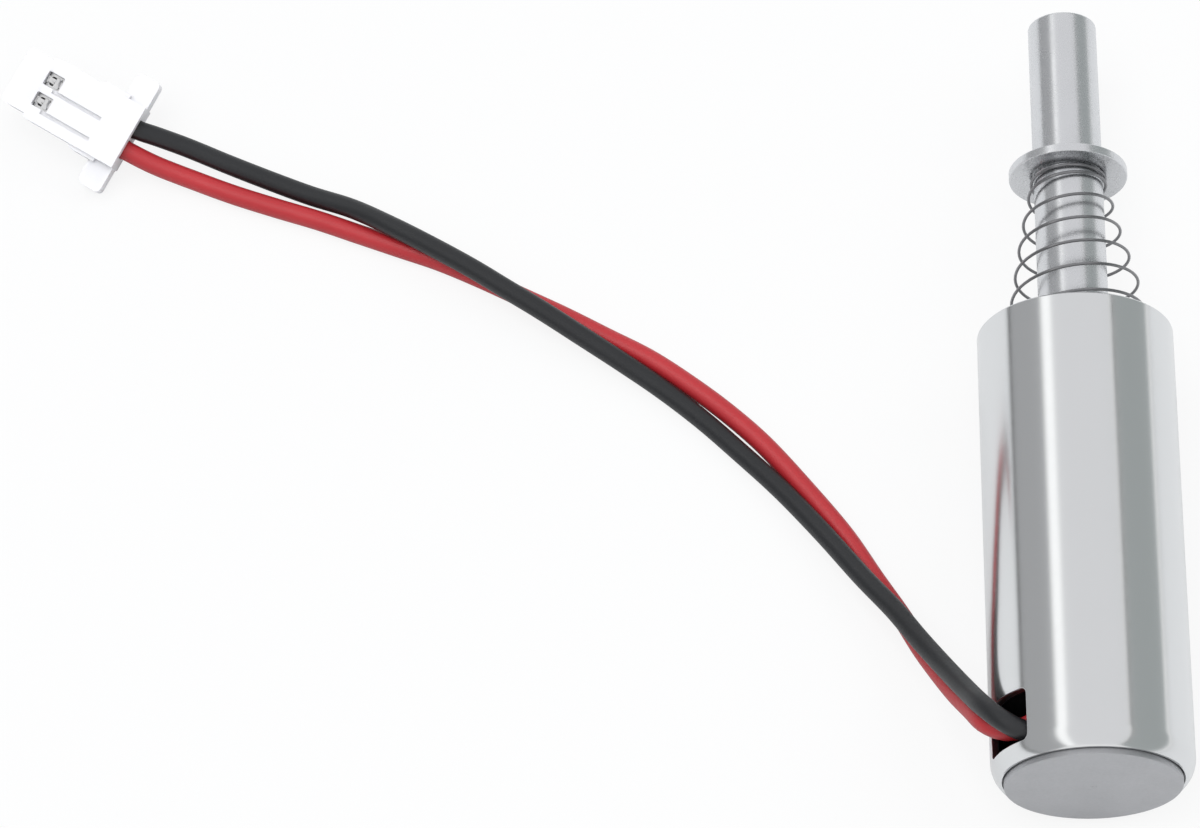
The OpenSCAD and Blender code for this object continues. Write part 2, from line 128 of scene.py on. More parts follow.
# ---------------------------------------------------------------------------
# Shader writing
# ---------------------------------------------------------------------------


class Sock:
    """A shader socket whose arithmetic adds Math nodes to its board."""

    def __init__(self, board: "Board", socket: bpy.types.NodeSocket) -> None:
        """Wraps a socket of a board's node tree."""
        self.board = board
        self.socket = socket

    def _math(self, operation: str, first: Value, second: Value) -> "Sock":
        """Adds one Math node.

        Args:
            operation: The node's operation.
            first: Its first value.
            second: Its second value.

        Returns:
            The node's result.
        """
        return self.board.node("ShaderNodeMath", {"operation": operation}, {0: first, 1: second})

    def __add__(self, other: Value) -> "Sock":
        """Adds."""
        return self._math("ADD", self, other)

    def __radd__(self, other: Value) -> "Sock":
        """Adds to a number."""
        return self._math("ADD", other, self)

    def __sub__(self, other: Value) -> "Sock":
        """Subtracts."""
        return self._math("SUBTRACT", self, other)

    def __rsub__(self, other: Value) -> "Sock":
        """Subtracts from a number."""
        return self._math("SUBTRACT", other, self)

    def __mul__(self, other: Value) -> "Sock":
        """Multiplies."""
        return self._math("MULTIPLY", self, other)

    def __rmul__(self, other: Value) -> "Sock":
        """Multiplies a number."""
        return self._math("MULTIPLY", other, self)

    def __truediv__(self, other: Value) -> "Sock":
        """Divides."""
        return self._math("DIVIDE", self, other)

    def __pow__(self, other: Value) -> "Sock":
        """Raises to a power."""
        return self._math("POWER", self, other)

    def higher(self, other: Value) -> "Sock":
        """Gives the higher of two values."""
        return self._math("MAXIMUM", self, other)

    def clamped(self) -> "Sock":
        """Keeps the value between 0 and 1."""
        return self._math("MINIMUM", self._math("MAXIMUM", self, 0.0), 1.0)


class Board:
    """A node tree being written."""

    def __init__(self, tree: bpy.types.NodeTree) -> None:
        """Empties the tree.

        Args:
            tree: The tree of a material or of the world.
        """
        self.tree = tree
        self.tree.nodes.clear()

    def node(
        self,
        kind: str,
        settings: Optional[dict] = None,
        sockets: Optional[dict] = None,
        output: Union[int, str] = 0,
    ) -> Sock:
        """Adds a node of any type.

        Args:
            kind: The node's type.
            settings: What is set on the node itself; "stops" gives a ramp's positions and colours.
            sockets: The values or links of its input sockets, by name or number.
            output: The output to hand back, by name or number.

        Returns:
            The output, wrapped.
        """
        node = self.tree.nodes.new(kind)
        for key, value in (settings or {}).items():
            if key == "stops":
                self._set_stops(node.color_ramp, value)
            else:
                setattr(node, key, value)
        for key, value in (sockets or {}).items():
            target = node.inputs[key]
            if isinstance(value, Sock):
                self.tree.links.new(value.socket, target)
            elif hasattr(target.default_value, "__len__") and len(target.default_value) == 4:
                target.default_value = (*value, 1.0) if len(value) == 3 else value
            else:
                target.default_value = value
        return Sock(self, node.outputs[output]) if node.outputs else None

    @staticmethod
    def _set_stops(ramp: bpy.types.ColorRamp, stops: Sequence[tuple[float, Colour]]) -> None:
        """Sets the stops of a colour ramp."""
        while len(ramp.elements) < len(stops):
            ramp.elements.new(1.0)
        for element, (position, colour) in zip(ramp.elements, stops):
            element.position = position
            element.color = (*colour, 1.0)

    def place(self, offset: Point = (0.0, 0.0, 0.0), scale: Point = (1.0, 1.0, 1.0)) -> Sock:
        """Gives the place on the piece in the part's frame, moved and scaled.

        Args:
            offset: What is taken from the place first.
            scale: What each coordinate is then multiplied by.

        Returns:
            The vector.
        """
        here = self.node("ShaderNodeTexCoord", output="Object")
        moved = self.node("ShaderNodeVectorMath", {"operation": "SUBTRACT"}, {0: here, 1: offset})
        return self.node("ShaderNodeVectorMath", {"operation": "MULTIPLY"}, {0: moved, 1: scale})

    def noise(self, where: Sock, scale: float, detail: float = 2.0, rough: float = 0.5) -> Sock:
        """Adds a noise.

        Args:
            where: The vector it is read at.
            scale: How fine it is, in features a metre.
            detail: How many finer layers it has.
            rough: How strong those are.

        Returns:
            Its value, about 0.5 on average.
        """
        return self.node(
            "ShaderNodeTexNoise", None, {"Vector": where, "Scale": scale, "Detail": detail, "Roughness": rough}
        )

    def mix(self, amount: Value, first: Union[Colour, Sock], second: Union[Colour, Sock]) -> Sock:
        """Mixes two colours.

        Args:
            amount: The share of the second.
            first: The first colour.
            second: The second colour.

        Returns:
            The mixed colour.
        """
        return self.node(
            "ShaderNodeMix", {"data_type": "RGBA"}, {"Factor": amount, 6: first, 7: second}, output=2
        )

    def bump(self, height: Sock, depth: float, share: float = 1.0) -> Sock:
        """Turns a height into a normal.

        Args:
            height: The height, from 0 to 1.
            depth: What a height of 1 stands for, in metres.
            share: How strongly it is applied.

        Returns:
            The normal.
        """
        return self.node("ShaderNodeBump", None, {"Height": height, "Distance": depth, "Strength": share})

    def finish(self, shader: Sock, volume: Optional[Sock] = None) -> None:
        """Joins the shader to the material's output."""
        links = {"Surface": shader}
        if volume is not None:
            links["Volume"] = volume
        self.node("ShaderNodeOutputMaterial", None, links)


class Finish:
    """A finish that can be put on a piece."""

    name: str
    slot: str

    def surface(self, board: Board) -> Sock:
        """Writes the finish's shader and gives it back."""
        raise NotImplementedError

    def material(self) -> bpy.types.Material:
        """Makes the material once, and finds it again after that.

        Returns:
            The material.
        """
        made = bpy.data.materials.get(self.name)
        if made is None:
            made = bpy.data.materials.new(self.name)
            made.use_nodes = True
            board = Board(made.node_tree)
            board.finish(self.surface(board))
        return made


@dataclass(frozen=True)
class Metal(Finish):
    """A metal with soft blotches, fine lay lines round the axis or along it, and a trace of grain."""

    name: str
    slot: str
    colour: Colour
    roughness: float
    shade: Colour = (0.9, 0.9, 0.9)
    blotch_scale: float = 350.0
    blotch: float = 0.25
    roughness_swing: float = 0.05
    lay_scale: Point = (0.0, 9000.0, 0.0)
    lay_depth: float = 0.0
    grain_scale: float = 9000.0
    grain_depth: float = 0.0

    def surface(self, board: Board) -> Sock:
        """Writes the metal's shader and gives it back."""
        here = board.place(offset=(0.0, 0.0, STACK.axis_z))
        blotches = board.noise(here, self.blotch_scale, detail=3.0)
        dark = tuple(full * part for full, part in zip(self.colour, self.shade))
        colour = board.mix((blotches * self.blotch * 2.0).clamped(), self.colour, dark)
        fine = board.noise(here, self.blotch_scale * 9.0, detail=2.0)
        roughness = self.roughness + (blotches + fine - 1.0) * self.roughness_swing
        lay = board.noise(board.place(scale=self.lay_scale), 1.0, detail=3.0, rough=0.6)
        grain = board.noise(here, self.grain_scale, detail=3.0, rough=0.65)
        ridged = board.bump(lay, self.lay_depth)
        normal = board.node(
            "ShaderNodeBump", None, {"Height": grain, "Distance": self.grain_depth, "Normal": ridged}
        )
        return board.node(
            "ShaderNodeBsdfPrincipled",
            None,
            {"Base Color": colour, "Metallic": 1.0, "Roughness": roughness.clamped(), "Normal": normal},
        )


@dataclass(frozen=True)
class FacedSteel(Finish):
    """A face turned on a lathe: rings round the axis, broken up by grain."""

    name: str
    slot: str
    colour: Colour
    roughness: float
    ring_pitch: float = 0.11 * MM
    ring_depth: float = 0.0008 * MM
    grain_depth: float = 0.006 * MM

    def surface(self, board: Board) -> Sock:
        """Writes the turned face's shader and gives it back."""
        here = board.place(offset=(0.0, 0.0, STACK.axis_z))
        across = board.place(offset=(0.0, 0.0, STACK.axis_z), scale=(1.0, 0.0, 1.0))
        radius = board.node("ShaderNodeVectorMath", {"operation": "LENGTH"}, {0: across}, output="Value")
        wander = board.noise(here, 900.0, detail=2.0)
        turns = radius / self.ring_pitch + wander * 1.2
        ring = board.node("ShaderNodeMath", {"operation": "SINE"}, {0: turns * (2.0 * math.pi)})
        grain = board.noise(here, 5200.0, detail=4.0, rough=0.7)
        cloud = board.noise(here, 420.0, detail=3.0)
        dark = tuple(0.82 * part for part in self.colour)
        colour = board.mix((cloud * 0.9 + grain * 0.4 - 0.15).clamped(), self.colour, dark)
        ridged = board.bump(ring * 0.5 + 0.5, self.ring_depth)
        normal = board.node(
            "ShaderNodeBump", None, {"Height": grain, "Distance": self.grain_depth, "Normal": ridged}
        )
        roughness = (self.roughness + (grain - 0.5) * 0.18).clamped()
        return board.node(
            "ShaderNodeBsdfPrincipled",
            None,
            {"Base Color": colour, "Metallic": 1.0, "Roughness": roughness, "Normal": normal},
        )


@dataclass(frozen=True)
class Insulation(Finish):
    """Extruded PVC: a satin skin with soft clouds of tone and specks."""

    name: str
    slot: str
    colour: Colour
    deep: Colour
    roughness: float = 0.42
    grain_depth: float = 0.012 * MM

    def surface(self, board: Board) -> Sock:
        """Writes the insulation's shader and gives it back."""
        here = board.place()
        cloud = board.noise(here, 260.0, detail=3.0)
        speck = board.noise(here, 7000.0, detail=3.0, rough=0.6)
        colour = board.mix((cloud * 1.1 - 0.1).clamped(), self.colour, self.deep)
        roughness = (self.roughness + (cloud - 0.5) * 0.16 + (speck - 0.5) * 0.12).clamped()
        return board.node(
            "ShaderNodeBsdfPrincipled",
            None,
            {
                "Base Color": colour,
                "Roughness": roughness,
                "IOR": 1.5,
                "Normal": board.bump(speck, self.grain_depth),
            },
        )


@dataclass(frozen=True)
class Moulded(Finish):
    """Moulded plastic: a fine matt grain, with light let a little way in where it is pale."""

    name: str
    slot: str
    colour: Colour
    deep: Colour
    roughness: float = 0.45
    depth_of_light: float = 0.0
    grain_scale: float = 6000.0
    grain_depth: float = 0.01 * MM

    def surface(self, board: Board) -> Sock:
        """Writes the plastic's shader and gives it back."""
        here = board.place()
        cloud = board.noise(here, 320.0, detail=3.0)
        grain = board.noise(here, self.grain_scale, detail=3.0, rough=0.6)
        colour = board.mix((cloud * 1.2 - 0.2).clamped(), self.colour, self.deep)
        roughness = (self.roughness + (grain - 0.5) * 0.14 + (cloud - 0.5) * 0.1).clamped()
        sockets = {
            "Base Color": colour,
            "Roughness": roughness,
            "IOR": 1.53,
            "Normal": board.bump(grain, self.grain_depth),
        }
        if self.depth_of_light > 0.0:
            sockets["Subsurface Weight"] = 0.35
            sockets["Subsurface Radius"] = (1.0, 0.95, 0.9)
            sockets["Subsurface Scale"] = self.depth_of_light
        return board.node("ShaderNodeBsdfPrincipled", None, sockets)


@dataclass(frozen=True)
class Winding(Finish):
    """Close turns of enamelled wire round the axis, with painted shade in the grooves between turns."""

    name: str
    slot: str
    colour: Colour
    wire_pitch: float = 0.16 * MM

    def surface(self, board: Board) -> Sock:
        """Writes the winding's shader and gives it back."""
        along = board.node(
            "ShaderNodeSeparateXYZ", None, {"Vector": board.place()}, output="Y"
        )
        wave = board.node("ShaderNodeMath", {"operation": "SINE"}, {0: along * (2.0 * math.pi / self.wire_pitch)})
        turn = wave * 0.5 + 0.5
        # Painted shade: the copper is darkened to 35 % in the grooves between turns, where shade falls.
        painted_groove_shade = tuple(0.35 * part for part in self.colour)
        return board.node(
            "ShaderNodeBsdfPrincipled",
            None,
            {
                "Base Color": board.mix(turn, painted_groove_shade, self.colour),
                "Metallic": 0.8,
                "Roughness": (0.45 - turn * 0.15).clamped(),
                "Normal": board.bump(turn, 0.05 * MM),
            },
        )


NICKEL = Metal(
    "nickel plate", "nickel_case", (0.74, 0.75, 0.755), 0.17,
    shade=(0.95, 0.955, 0.95), blotch_scale=260.0, roughness_swing=0.03,
    lay_scale=(0.0, 14000.0, 0.0), lay_depth=0.00012 * MM, grain_depth=0.0006 * MM,
)
RAW_EDGE = Metal(
    "sheared edge", "nickel_case", (0.80, 0.80, 0.81), 0.30, shade=(0.8, 0.8, 0.8),
    grain_scale=14000.0, grain_depth=0.006 * MM,
)
ROD_STEEL = Metal(
    "ground rod", "plain_steel", (0.72, 0.73, 0.745), 0.27,
    shade=(0.88, 0.88, 0.88), blotch_scale=500.0, roughness_swing=0.08,
    lay_scale=(0.0, 11000.0, 0.0), lay_depth=0.0006 * MM, grain_depth=0.002 * MM,
)
DISC_STEEL = FacedSteel("faced disc", "plain_steel", (0.50, 0.505, 0.52), 0.46)
SPRING_STEEL = Metal(
    "spring wire", "spring_steel", (0.30, 0.30, 0.31), 0.30, shade=(0.6, 0.6, 0.6),
    blotch_scale=1500.0, blotch=0.4, lay_scale=(0.0, 0.0, 0.0), grain_depth=0.002 * MM,
)
BRASS = Metal("drawn brass", "brass", (0.78, 0.60, 0.30), 0.28, lay_depth=0.0004 * MM)
COPPER = Winding("wound copper", "copper", (0.72, 0.34, 0.16))
COPPER_WIRE = Metal("enamelled wire", "copper", (0.66, 0.30, 0.14), 0.25)
TIN = Metal(
    "tin plate", "tinned", (0.86, 0.86, 0.85), 0.16, shade=(0.8, 0.8, 0.8),
    blotch_scale=2500.0, blotch=0.4, roughness_swing=0.1, grain_depth=0.003 * MM,
)
BLACK_MOULD = Moulded("black moulding", "black_plastic", (0.014, 0.014, 0.016), (0.008, 0.008, 0.009), 0.5)
TAPE = Moulded("amber tape", "tape", (0.50, 0.24, 0.04), (0.40, 0.17, 0.03), 0.22)
BLACK_PVC = Insulation("black insulation", "black_pvc", (0.011, 0.012, 0.0135), (0.007, 0.0075, 0.009))
RED_PVC = Insulation("red insulation", "red_pvc", (0.42, 0.022, 0.028), (0.33, 0.014, 0.019))
NYLON = Moulded(
    "natural nylon", "white_nylon", (0.76, 0.76, 0.775), (0.70, 0.70, 0.72), 0.40,
    depth_of_light=0.35 * MM, grain_depth=0.006 * MM,
)


# ---------------------------------------------------------------------------
# Mesh writing
# ---------------------------------------------------------------------------


class Surface:
    """A mesh built patch by patch: corners that meet are welded, and each keeps its own normal."""

    WELD = 1.0e7

    def __init__(self) -> None:
        """Starts with no patches."""
        self._index: dict[tuple[int, int, int], int] = {}
        self.points: list[Vector] = []
        self.faces: list[list[int]] = []
        self.normals: list[list[Vector]] = []
        self.finish_numbers: list[int] = []

    def _corner(self, point: Vector) -> int:
        """Finds or adds a corner."""
        key = tuple(round(part * self.WELD) for part in point)
        if key not in self._index:
            self._index[key] = len(self.points)
            self.points.append(point)
        return self._index[key]

    def face(self, corners: Sequence[Vector], normals: Sequence[Vector], finish: int = 0) -> None:
        """Adds one face, turned so that it looks the way its normals do.

        Args:
            corners: Its corners in order.
            normals: The shading normal at each.
            finish: The number of its finish.
        """
        numbers, kept = [], []
        for corner, normal in zip(corners, normals):
            number = self._corner(corner)
            if number not in numbers:
                numbers.append(number)
                kept.append(normal)
        if len(numbers) < 3:
            return
        a, b, c = (self.points[numbers[k]] for k in (0, 1, -1))
        if (b - a).cross(c - a).dot(sum(kept, Vector())) < 0.0:
            numbers.reverse()
            kept.reverse()
        self.faces.append(numbers)
        self.normals.append(kept)
        self.finish_numbers.append(finish)

    def strip(
        self,
        first: Sequence[tuple[Vector, Vector]],
        second: Sequence[tuple[Vector, Vector]],
        closed: bool = True,
        finish: int = 0,
    ) -> None:
        """Joins two rows of places and normals with quads.

        Args:
            first: One row.
            second: The other row.
            closed: Whether the rows are rings.
            finish: The number of the faces' finish.
        """
        count = len(first)
        for i in range(count if closed else count - 1):
            j = (i + 1) % count
            quad = (first[i], second[i], second[j], first[j])
            self.face([p for p, _ in quad], [n for _, n in quad], finish)

    def build(self, name: str, finishes: Sequence[Finish]) -> bpy.types.Object:
        """Makes the object.

        Args:
            name: The piece's name.
            finishes: Its finishes, by number.

        Returns:
            The new object, linked to the scene.
        """
        mesh = bpy.data.meshes.new(name)
        mesh.from_pydata([tuple(p) for p in self.points], [], self.faces)
        for finish in finishes:
            mesh.materials.append(finish.material())
        for polygon, number in zip(mesh.polygons, self.finish_numbers):
            polygon.material_index = number
            polygon.use_smooth = True
        mesh.normals_split_custom_set([tuple(n.normalized()) for face in self.normals for n in face])
        piece = bpy.data.objects.new(name, mesh)
        bpy.context.scene.collection.objects.link(piece)
        return piece


@dataclass(frozen=True)
class OutlinePoint:
    """A point of a lathe outline with the direction that its surface looks in."""

    radius: float
    station: float
    out: float
    along: float


class Outline:
    """A lathe outline as smooth strokes, drawn with the metal on the left hand."""

    def __init__(self) -> None:
        """Starts with no strokes."""
        self.strokes: list[list[OutlinePoint]] = []

    def line(self, start: tuple[float, float], end: tuple[float, float]) -> "Outline":
        """Adds a straight stroke from one (radius, station) to another."""
        heading = Vector((end[0] - start[0], end[1] - start[1])).normalized()
        self.strokes.append([OutlinePoint(*p, heading.y, -heading.x) for p in (start, end)])
        return self

    def arc(
        self, centre: tuple[float, float], radius: float, start: float, end: float, steps: int = 6, hollow: bool = False
    ) -> "Outline":
        """Adds an arc.

        Args:
            centre: Its centre, as (radius, station).
            radius: Its own radius.
            start: The angle that its first normal looks in, in radians.
            end: The angle of its last normal.
            steps: How many pieces it is drawn in.
            hollow: Whether it is a hollow, such as the fillet of an inner corner.

        Returns:
            The outline itself.
        """
        side = -1.0 if hollow else 1.0
        stroke = []
        for i in range(steps + 1):
            angle = start + (end - start) * i / steps
            out, along = math.cos(angle), math.sin(angle)
            stroke.append(
                OutlinePoint(centre[0] + side * radius * out, centre[1] + side * radius * along, out, along)
            )
        self.strokes.append(stroke)
        return self

    def rounded(self, corners: Sequence[tuple[float, float, float]], steps: int = 5) -> "Outline":
        """Adds straight strokes between corners, each corner rounded by its own radius.

        Args:
            corners: (radius, station, corner radius) in order.
            steps: How many pieces each corner is drawn in.

        Returns:
            The outline itself.
        """
        places = [Vector(corner[:2]) for corner in corners]
        last = places[0]
        for i in range(1, len(corners)):
            here = places[i]
            entry = (here - last).normalized()
            if i == len(corners) - 1 or corners[i][2] <= 0.0:
                self.line(tuple(last), tuple(here))
                last = here
                continue
            leave = (places[i + 1] - here).normalized()
            turn = math.atan2(entry.x * leave.y - entry.y * leave.x, entry.dot(leave))
            cut = corners[i][2] * math.tan(abs(turn) / 2)
            self.line(tuple(last), tuple(here - entry * cut))
            side = 1.0 if turn > 0 else -1.0
            centre = here - entry * cut + Vector((-entry.y, entry.x)) * corners[i][2] * side
            first = math.atan2(-entry.x, entry.y)
            self.arc(tuple(centre), corners[i][2], first, first + turn, steps, hollow=turn < 0)
            last = here + leave * cut
        return self

    def turn(self, surface: Surface, segments: int = 144, finish: int = 0, first_angle: float = 0.0) -> None:
        """Turns the outline round the axis.

        Args:
            surface: The mesh it is added to.
            segments: How many pieces the circle is drawn in.
            finish: The number of the finish.
            first_angle: The angle of the first ring point.
        """
        angles = [first_angle + 2 * math.pi * k / segments for k in range(segments)]
        for stroke in self.strokes:
            rings = [
                [(STACK.point(p.radius, a, p.station), STACK.direction(p.out, a, p.along)) for a in angles]
                for p in stroke
            ]
            for first, second in zip(rings, rings[1:]):
                surface.strip(first, second, finish=finish)


def smooth_route(points: Sequence[Point], step: float) -> list[Vector]:
    """Draws one smooth curve through points.

    Args:
        points: The points, in order.
        step: About how far apart the curve's own points are.

    Returns:
        The curve's points.
    """
    places = [Vector(p) for p in points]
    ends = [places[0] * 2 - places[1]] + places + [places[-1] * 2 - places[-2]]
    curve = []
    for before, start, end, after in zip(ends, ends[1:], ends[2:], ends[3:]):
        pieces = max(2, round((end - start).length / step))
        for k in range(pieces):
            t = k / pieces
            curve.append(
                0.5 * (
                    2 * start
                    + (end - before) * t
                    + (2 * before - 5 * start + 4 * end - after) * t ** 2
                    + (3 * start - 3 * end + after - before) * t ** 3
                )
            )
    curve.append(places[-1])
    return curve


def route_length(points: Sequence[Vector]) -> float:
    """Adds up the length of a line of points."""
    return sum((b - a).length for a, b in zip(points, points[1:]))


def sweep(
    surface: Surface, path: Sequence[Vector], radius: Callable[[int], float], sides: int, upright: Vector
) -> None:
    """Sweeps a round section along a path and closes its ends.

    Args:
        surface: The mesh it is added to.
        path: The centre line.
        radius: The radius at each of its points, by number.
        sides: How many sides the section has.
        upright: A direction that the path never runs in.
    """
    rings = []
    count = len(path)
    for i, centre in enumerate(path):
        heading = (path[min(i + 1, count - 1)] - path[max(i - 1, 0)]).normalized()
        side = heading.cross(upright).normalized()
        top = side.cross(heading)
        ring = []
        for k in range(sides):
            angle = 2 * math.pi * k / sides
            out = math.cos(angle) * side + math.sin(angle) * top
            ring.append((centre + out * radius(i), out))
        rings.append(ring)
    for first, second in zip(rings, rings[1:]):
        surface.strip(first, second)
    for ring, centre, looks in (
        (rings[0], path[0], (path[0] - path[1]).normalized()),
        (rings[-1], path[-1], (path[-1] - path[-2]).normalized()),
    ):
        cap = [(p, looks) for p, _ in ring]
        surface.strip(cap, [(centre, looks)] * sides)


def dress(node: str, finish: Finish) -> None:
    """Gives a carried-over CAD node its finish.

    Args:
        node: The node's name.
        finish: The finish.
    """
    mesh = frame["nodes"][node].data
    mesh.materials.clear()
    mesh.materials.append(finish.material())
    LOG.info("dressed %s in %s", node, finish.name)


def settle(piece: bpy.types.Object, body: Body, finish: Finish, *nodes: str) -> bpy.types.Object:
    """Puts a finished piece on its body in place of its CAD nodes.

    Args:
        piece: The piece.
        body: The body it rides on.
        finish: Not used.
        nodes: The CAD nodes it stands for.

    Returns:
        The piece.
    """
    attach(piece, body.value)
    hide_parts(*nodes)
    LOG.info("made %s: %d faces, for %s", piece.name, len(piece.data.polygons), ", ".join(nodes))
    return piece


# ---------------------------------------------------------------------------
# The case and its base plug
# ---------------------------------------------------------------------------


@dataclass
class CaseShell:
    """The drawn can: side wall, rolled rear rim, front wall with its bore, and the lead window."""

    wall: float = 0.4 * MM
    front_wall: float = 1.0 * MM
    front_bevel: float = 0.1 * MM
    front_bore: float = 2.07 * MM
    roll_length: float = 1.05 * MM
    roll_in: float = 0.42 * MM
    rim_flat: float = 0.14 * MM
    edge: float = 0.03 * MM
    window_width: float = 3.3 * MM
    window_length: float = 2.65 * MM
    window_offset: float = 0.8 * MM
    window_corner: float = 0.3 * MM
    window_angle: float = math.radians(154.75)
    window_edge: float = 0.06 * MM
    columns: int = 180

    def __post_init__(self) -> None:
        """Works out the stations and radii from the frame."""
        low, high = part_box("case_shell")
        self.radius = (high.x - low.x) / 2
        self.rim = STACK.station(low.y)
        self.front = STACK.station(high.y)
        self.cavity = self.radius - self.wall
        self.arc_radius = (self.roll_length ** 2 + self.roll_in ** 2) / (2 * self.roll_in)
        self.roll_end = self.rim + self.roll_length
        self.window_middle = self.rim + self.window_offset + self.window_length / 2

    def side(self, station: float) -> tuple[float, float, float]:
        """Gives the outer wall's radius and normal at a station.

        Args:
            station: The station along the axis.

        Returns:
            The radius, and the normal's parts away from the axis and along it.
        """
        behind = max(0.0, self.roll_end - station)
        out = math.sqrt(self.arc_radius ** 2 - behind ** 2)
        return self.radius - self.arc_radius + out, out / self.arc_radius, -behind / self.arc_radius

    def window_loop(self, grow: float) -> list[tuple[Vector, Vector]]:
        """Draws the window's outline, grown all round.

        Args:
            grow: How much wider it is on each side.

        Returns:
            (across, station) places, and the direction from each into the window.
        """
        half = Vector((self.window_width / 2 + grow, self.window_length / 2 + grow))
        corner = self.window_corner + grow
        loop = []
        quarter_steps, edge_steps = 6, 12
        for quadrant, (x, y) in enumerate(((1, 1), (-1, 1), (-1, -1), (1, -1))):
            centre = Vector((x * (half.x - corner), y * (half.y - corner)))
            for k in range(quarter_steps + 1):
                angle = math.pi / 2 * (quadrant + k / quarter_steps)
                out = Vector((math.cos(angle), math.sin(angle)))
                loop.append((centre + out * corner, -out))
            nx, ny = ((-1, 1), (-1, -1), (1, -1), (1, 1))[quadrant]
            after = Vector((nx * (half.x - corner), ny * (half.y - corner))) + out * corner
            start = loop[-1][0]
            loop.extend((start.lerp(after, k / edge_steps), -out) for k in range(1, edge_steps))
        return [(p + Vector((0.0, self.window_middle)), inward) for p, inward in loop]

    def _angle(self, across: float, radius: float) -> float:
        """Gives the angle about the axis of a place across the window at a radius."""
        return self.window_angle + math.asin(across / radius)

    def _wall_patch(
        self, surface: Surface, stations: Sequence[float], hole: Sequence[Vector], inner: bool, finish: int
    ) -> None:
        """Covers a stretch of wall round the window.

        Args:
            surface: The mesh it is added to.
            stations: The stations of its rows.
            hole: The window's outline, as (angle from the window's middle, station).
            inner: Whether it is the inside of the wall.
            finish: The number of its finish.
        """
        flat = self.radius / MM
        inside = [Vector((p.x * flat, p.y / MM)) for p in hole]
        rows = [s / MM for s in stations]
        low = Vector((min(p.x for p in inside), min(p.y for p in inside)))
        high = Vector((max(p.x for p in inside), max(p.y for p in inside)))
        clear = 0.12
        points = list(inside)
        for s in rows:
            for k in range(self.columns + 1):
                u = (k / self.columns - 0.5) * 2 * math.pi * flat
                in_window = low.x - clear < u < high.x + clear and low.y - clear < s < high.y + clear
                if not in_window:
                    points.append(Vector((u, s)))
        edges = [(i, (i + 1) % len(inside)) for i in range(len(inside))]
        made, _, triangles, *_ = delaunay_2d_cdt(points, edges, [], 0, 1e-6)
        for triangle in triangles:
            corners = [made[i] for i in triangle]
            middle = sum(corners, Vector((0.0, 0.0))) / 3
            if self._holds(inside, middle):
                continue
            places, normals = [], []
            for corner in corners:
                angle, station = corner.x / flat + self.window_angle, corner.y * MM
                radius, out, along = (self.cavity, -1.0, 0.0) if inner else self.side(station)
                places.append(STACK.point(radius, angle, station))
                normals.append(STACK.direction(out, angle, along))
            surface.face(places, normals, finish)

    @staticmethod
    def _holds(loop: Sequence[Vector], place: Vector) -> bool:
        """Tells whether a closed loop goes round a place."""
        inside = False
        for a, b in zip(loop, list(loop[1:]) + [loop[0]]):
            if (a.y > place.y) != (b.y > place.y):
                if place.x < a.x + (place.y - a.y) * (b.x - a.x) / (b.y - a.y):
                    inside = not inside
        return inside

    def _window_rings(self) -> list[list[tuple[Vector, Vector]]]:
        """Draws the rings of the window's rounded edge and of its side, from the outside in.

        Returns:
            The rings, each of places and normals.
        """
        steps = 4
        depths = [
            (self.window_edge * (1 - math.sin(a)), self.window_edge * (1 - math.cos(a)), a)
            for a in (math.pi / 2 * k / steps for k in range(steps + 1))
        ]
        rings = []
        for grow, sink, turn in depths:
            ring = []
            for place, inward in self.window_loop(grow):
                radius, out, along = self.side(place.y)
                radius -= sink
                angle = self._angle(place.x, radius)
                level = STACK.direction(out, angle, along)
                ring.append((STACK.point(radius, angle, place.y), self._blend(level, inward, turn)))
            rings.append(ring)
        side_ring = []
        for place, inward in self.window_loop(0.0):
            angle = self._angle(place.x, self.cavity)
            side_ring.append((STACK.point(self.cavity, angle, place.y), self._blend(Vector(), inward, math.pi / 2)))
        rings.append(side_ring)
        return rings

    def _blend(self, level: Vector, inward: Vector, turn: float) -> Vector:
        """Turns a normal from level with the wall towards the inside of the window."""
        across = STACK.direction(1.0, self.window_angle + math.pi / 2, 0.0) * inward.x
        sideways = across + Vector((0.0, inward.y, 0.0))
        return level * math.cos(turn) + sideways * math.sin(turn)

    def build(self) -> bpy.types.Object:
        """Builds the shell and puts it in place.

        Returns:
            The piece.
        """
        surface = Surface()
        patch_start = self.rim + 0.6 * MM
        patch_end = self.front - self.front_bevel - self.edge
        start_radius, out, along = self.side(patch_start)
        arc_centre = (self.radius - self.arc_radius, self.roll_end)
        flat_end = self.side(self.rim)[0]
        lip = flat_end - self.rim_flat
        inner_start, inner_end = self.rim + self.wall, self.front - self.front_wall

        rear = Outline()
        rear.rounded([(lip, inner_start, 0.0), (lip, self.rim, self.edge), (flat_end, self.rim, 0.0)])
        first_angle = -math.asin(self.roll_length / self.arc_radius)
        rear.arc(arc_centre, self.arc_radius, first_angle, math.atan2(along, out), steps=8)
        rear.line((self.cavity, inner_start), (lip, inner_start))

        outer = self.window_loop(self.window_edge)
        outer_hole = [Vector((self._angle(p.x, self.side(p.y)[0]) - self.window_angle, p.y)) for p, _ in outer]
        inner_hole = [
            Vector((self._angle(p.x, self.cavity) - self.window_angle, p.y)) for p, _ in self.window_loop(0.0)
        ]
        near = [patch_start + k * (self.roll_end - patch_start) / 4 for k in range(5)]
        beside = [self.roll_end + k * 0.6 * MM for k in range(1, 6)]
        rest = [beside[-1] + (patch_end - beside[-1]) * k / 9 for k in range(1, 10)]
        self._wall_patch(surface, near + beside + rest, outer_hole, inner=False, finish=0)
        inner_rows = [inner_start + (inner_end - inner_start) * k / 12 for k in range(13)]
        self._wall_patch(surface, inner_rows, inner_hole, inner=True, finish=0)
        rings = self._window_rings()
        for first, second in zip(rings, rings[1:]):
            surface.strip(first, second, finish=1)

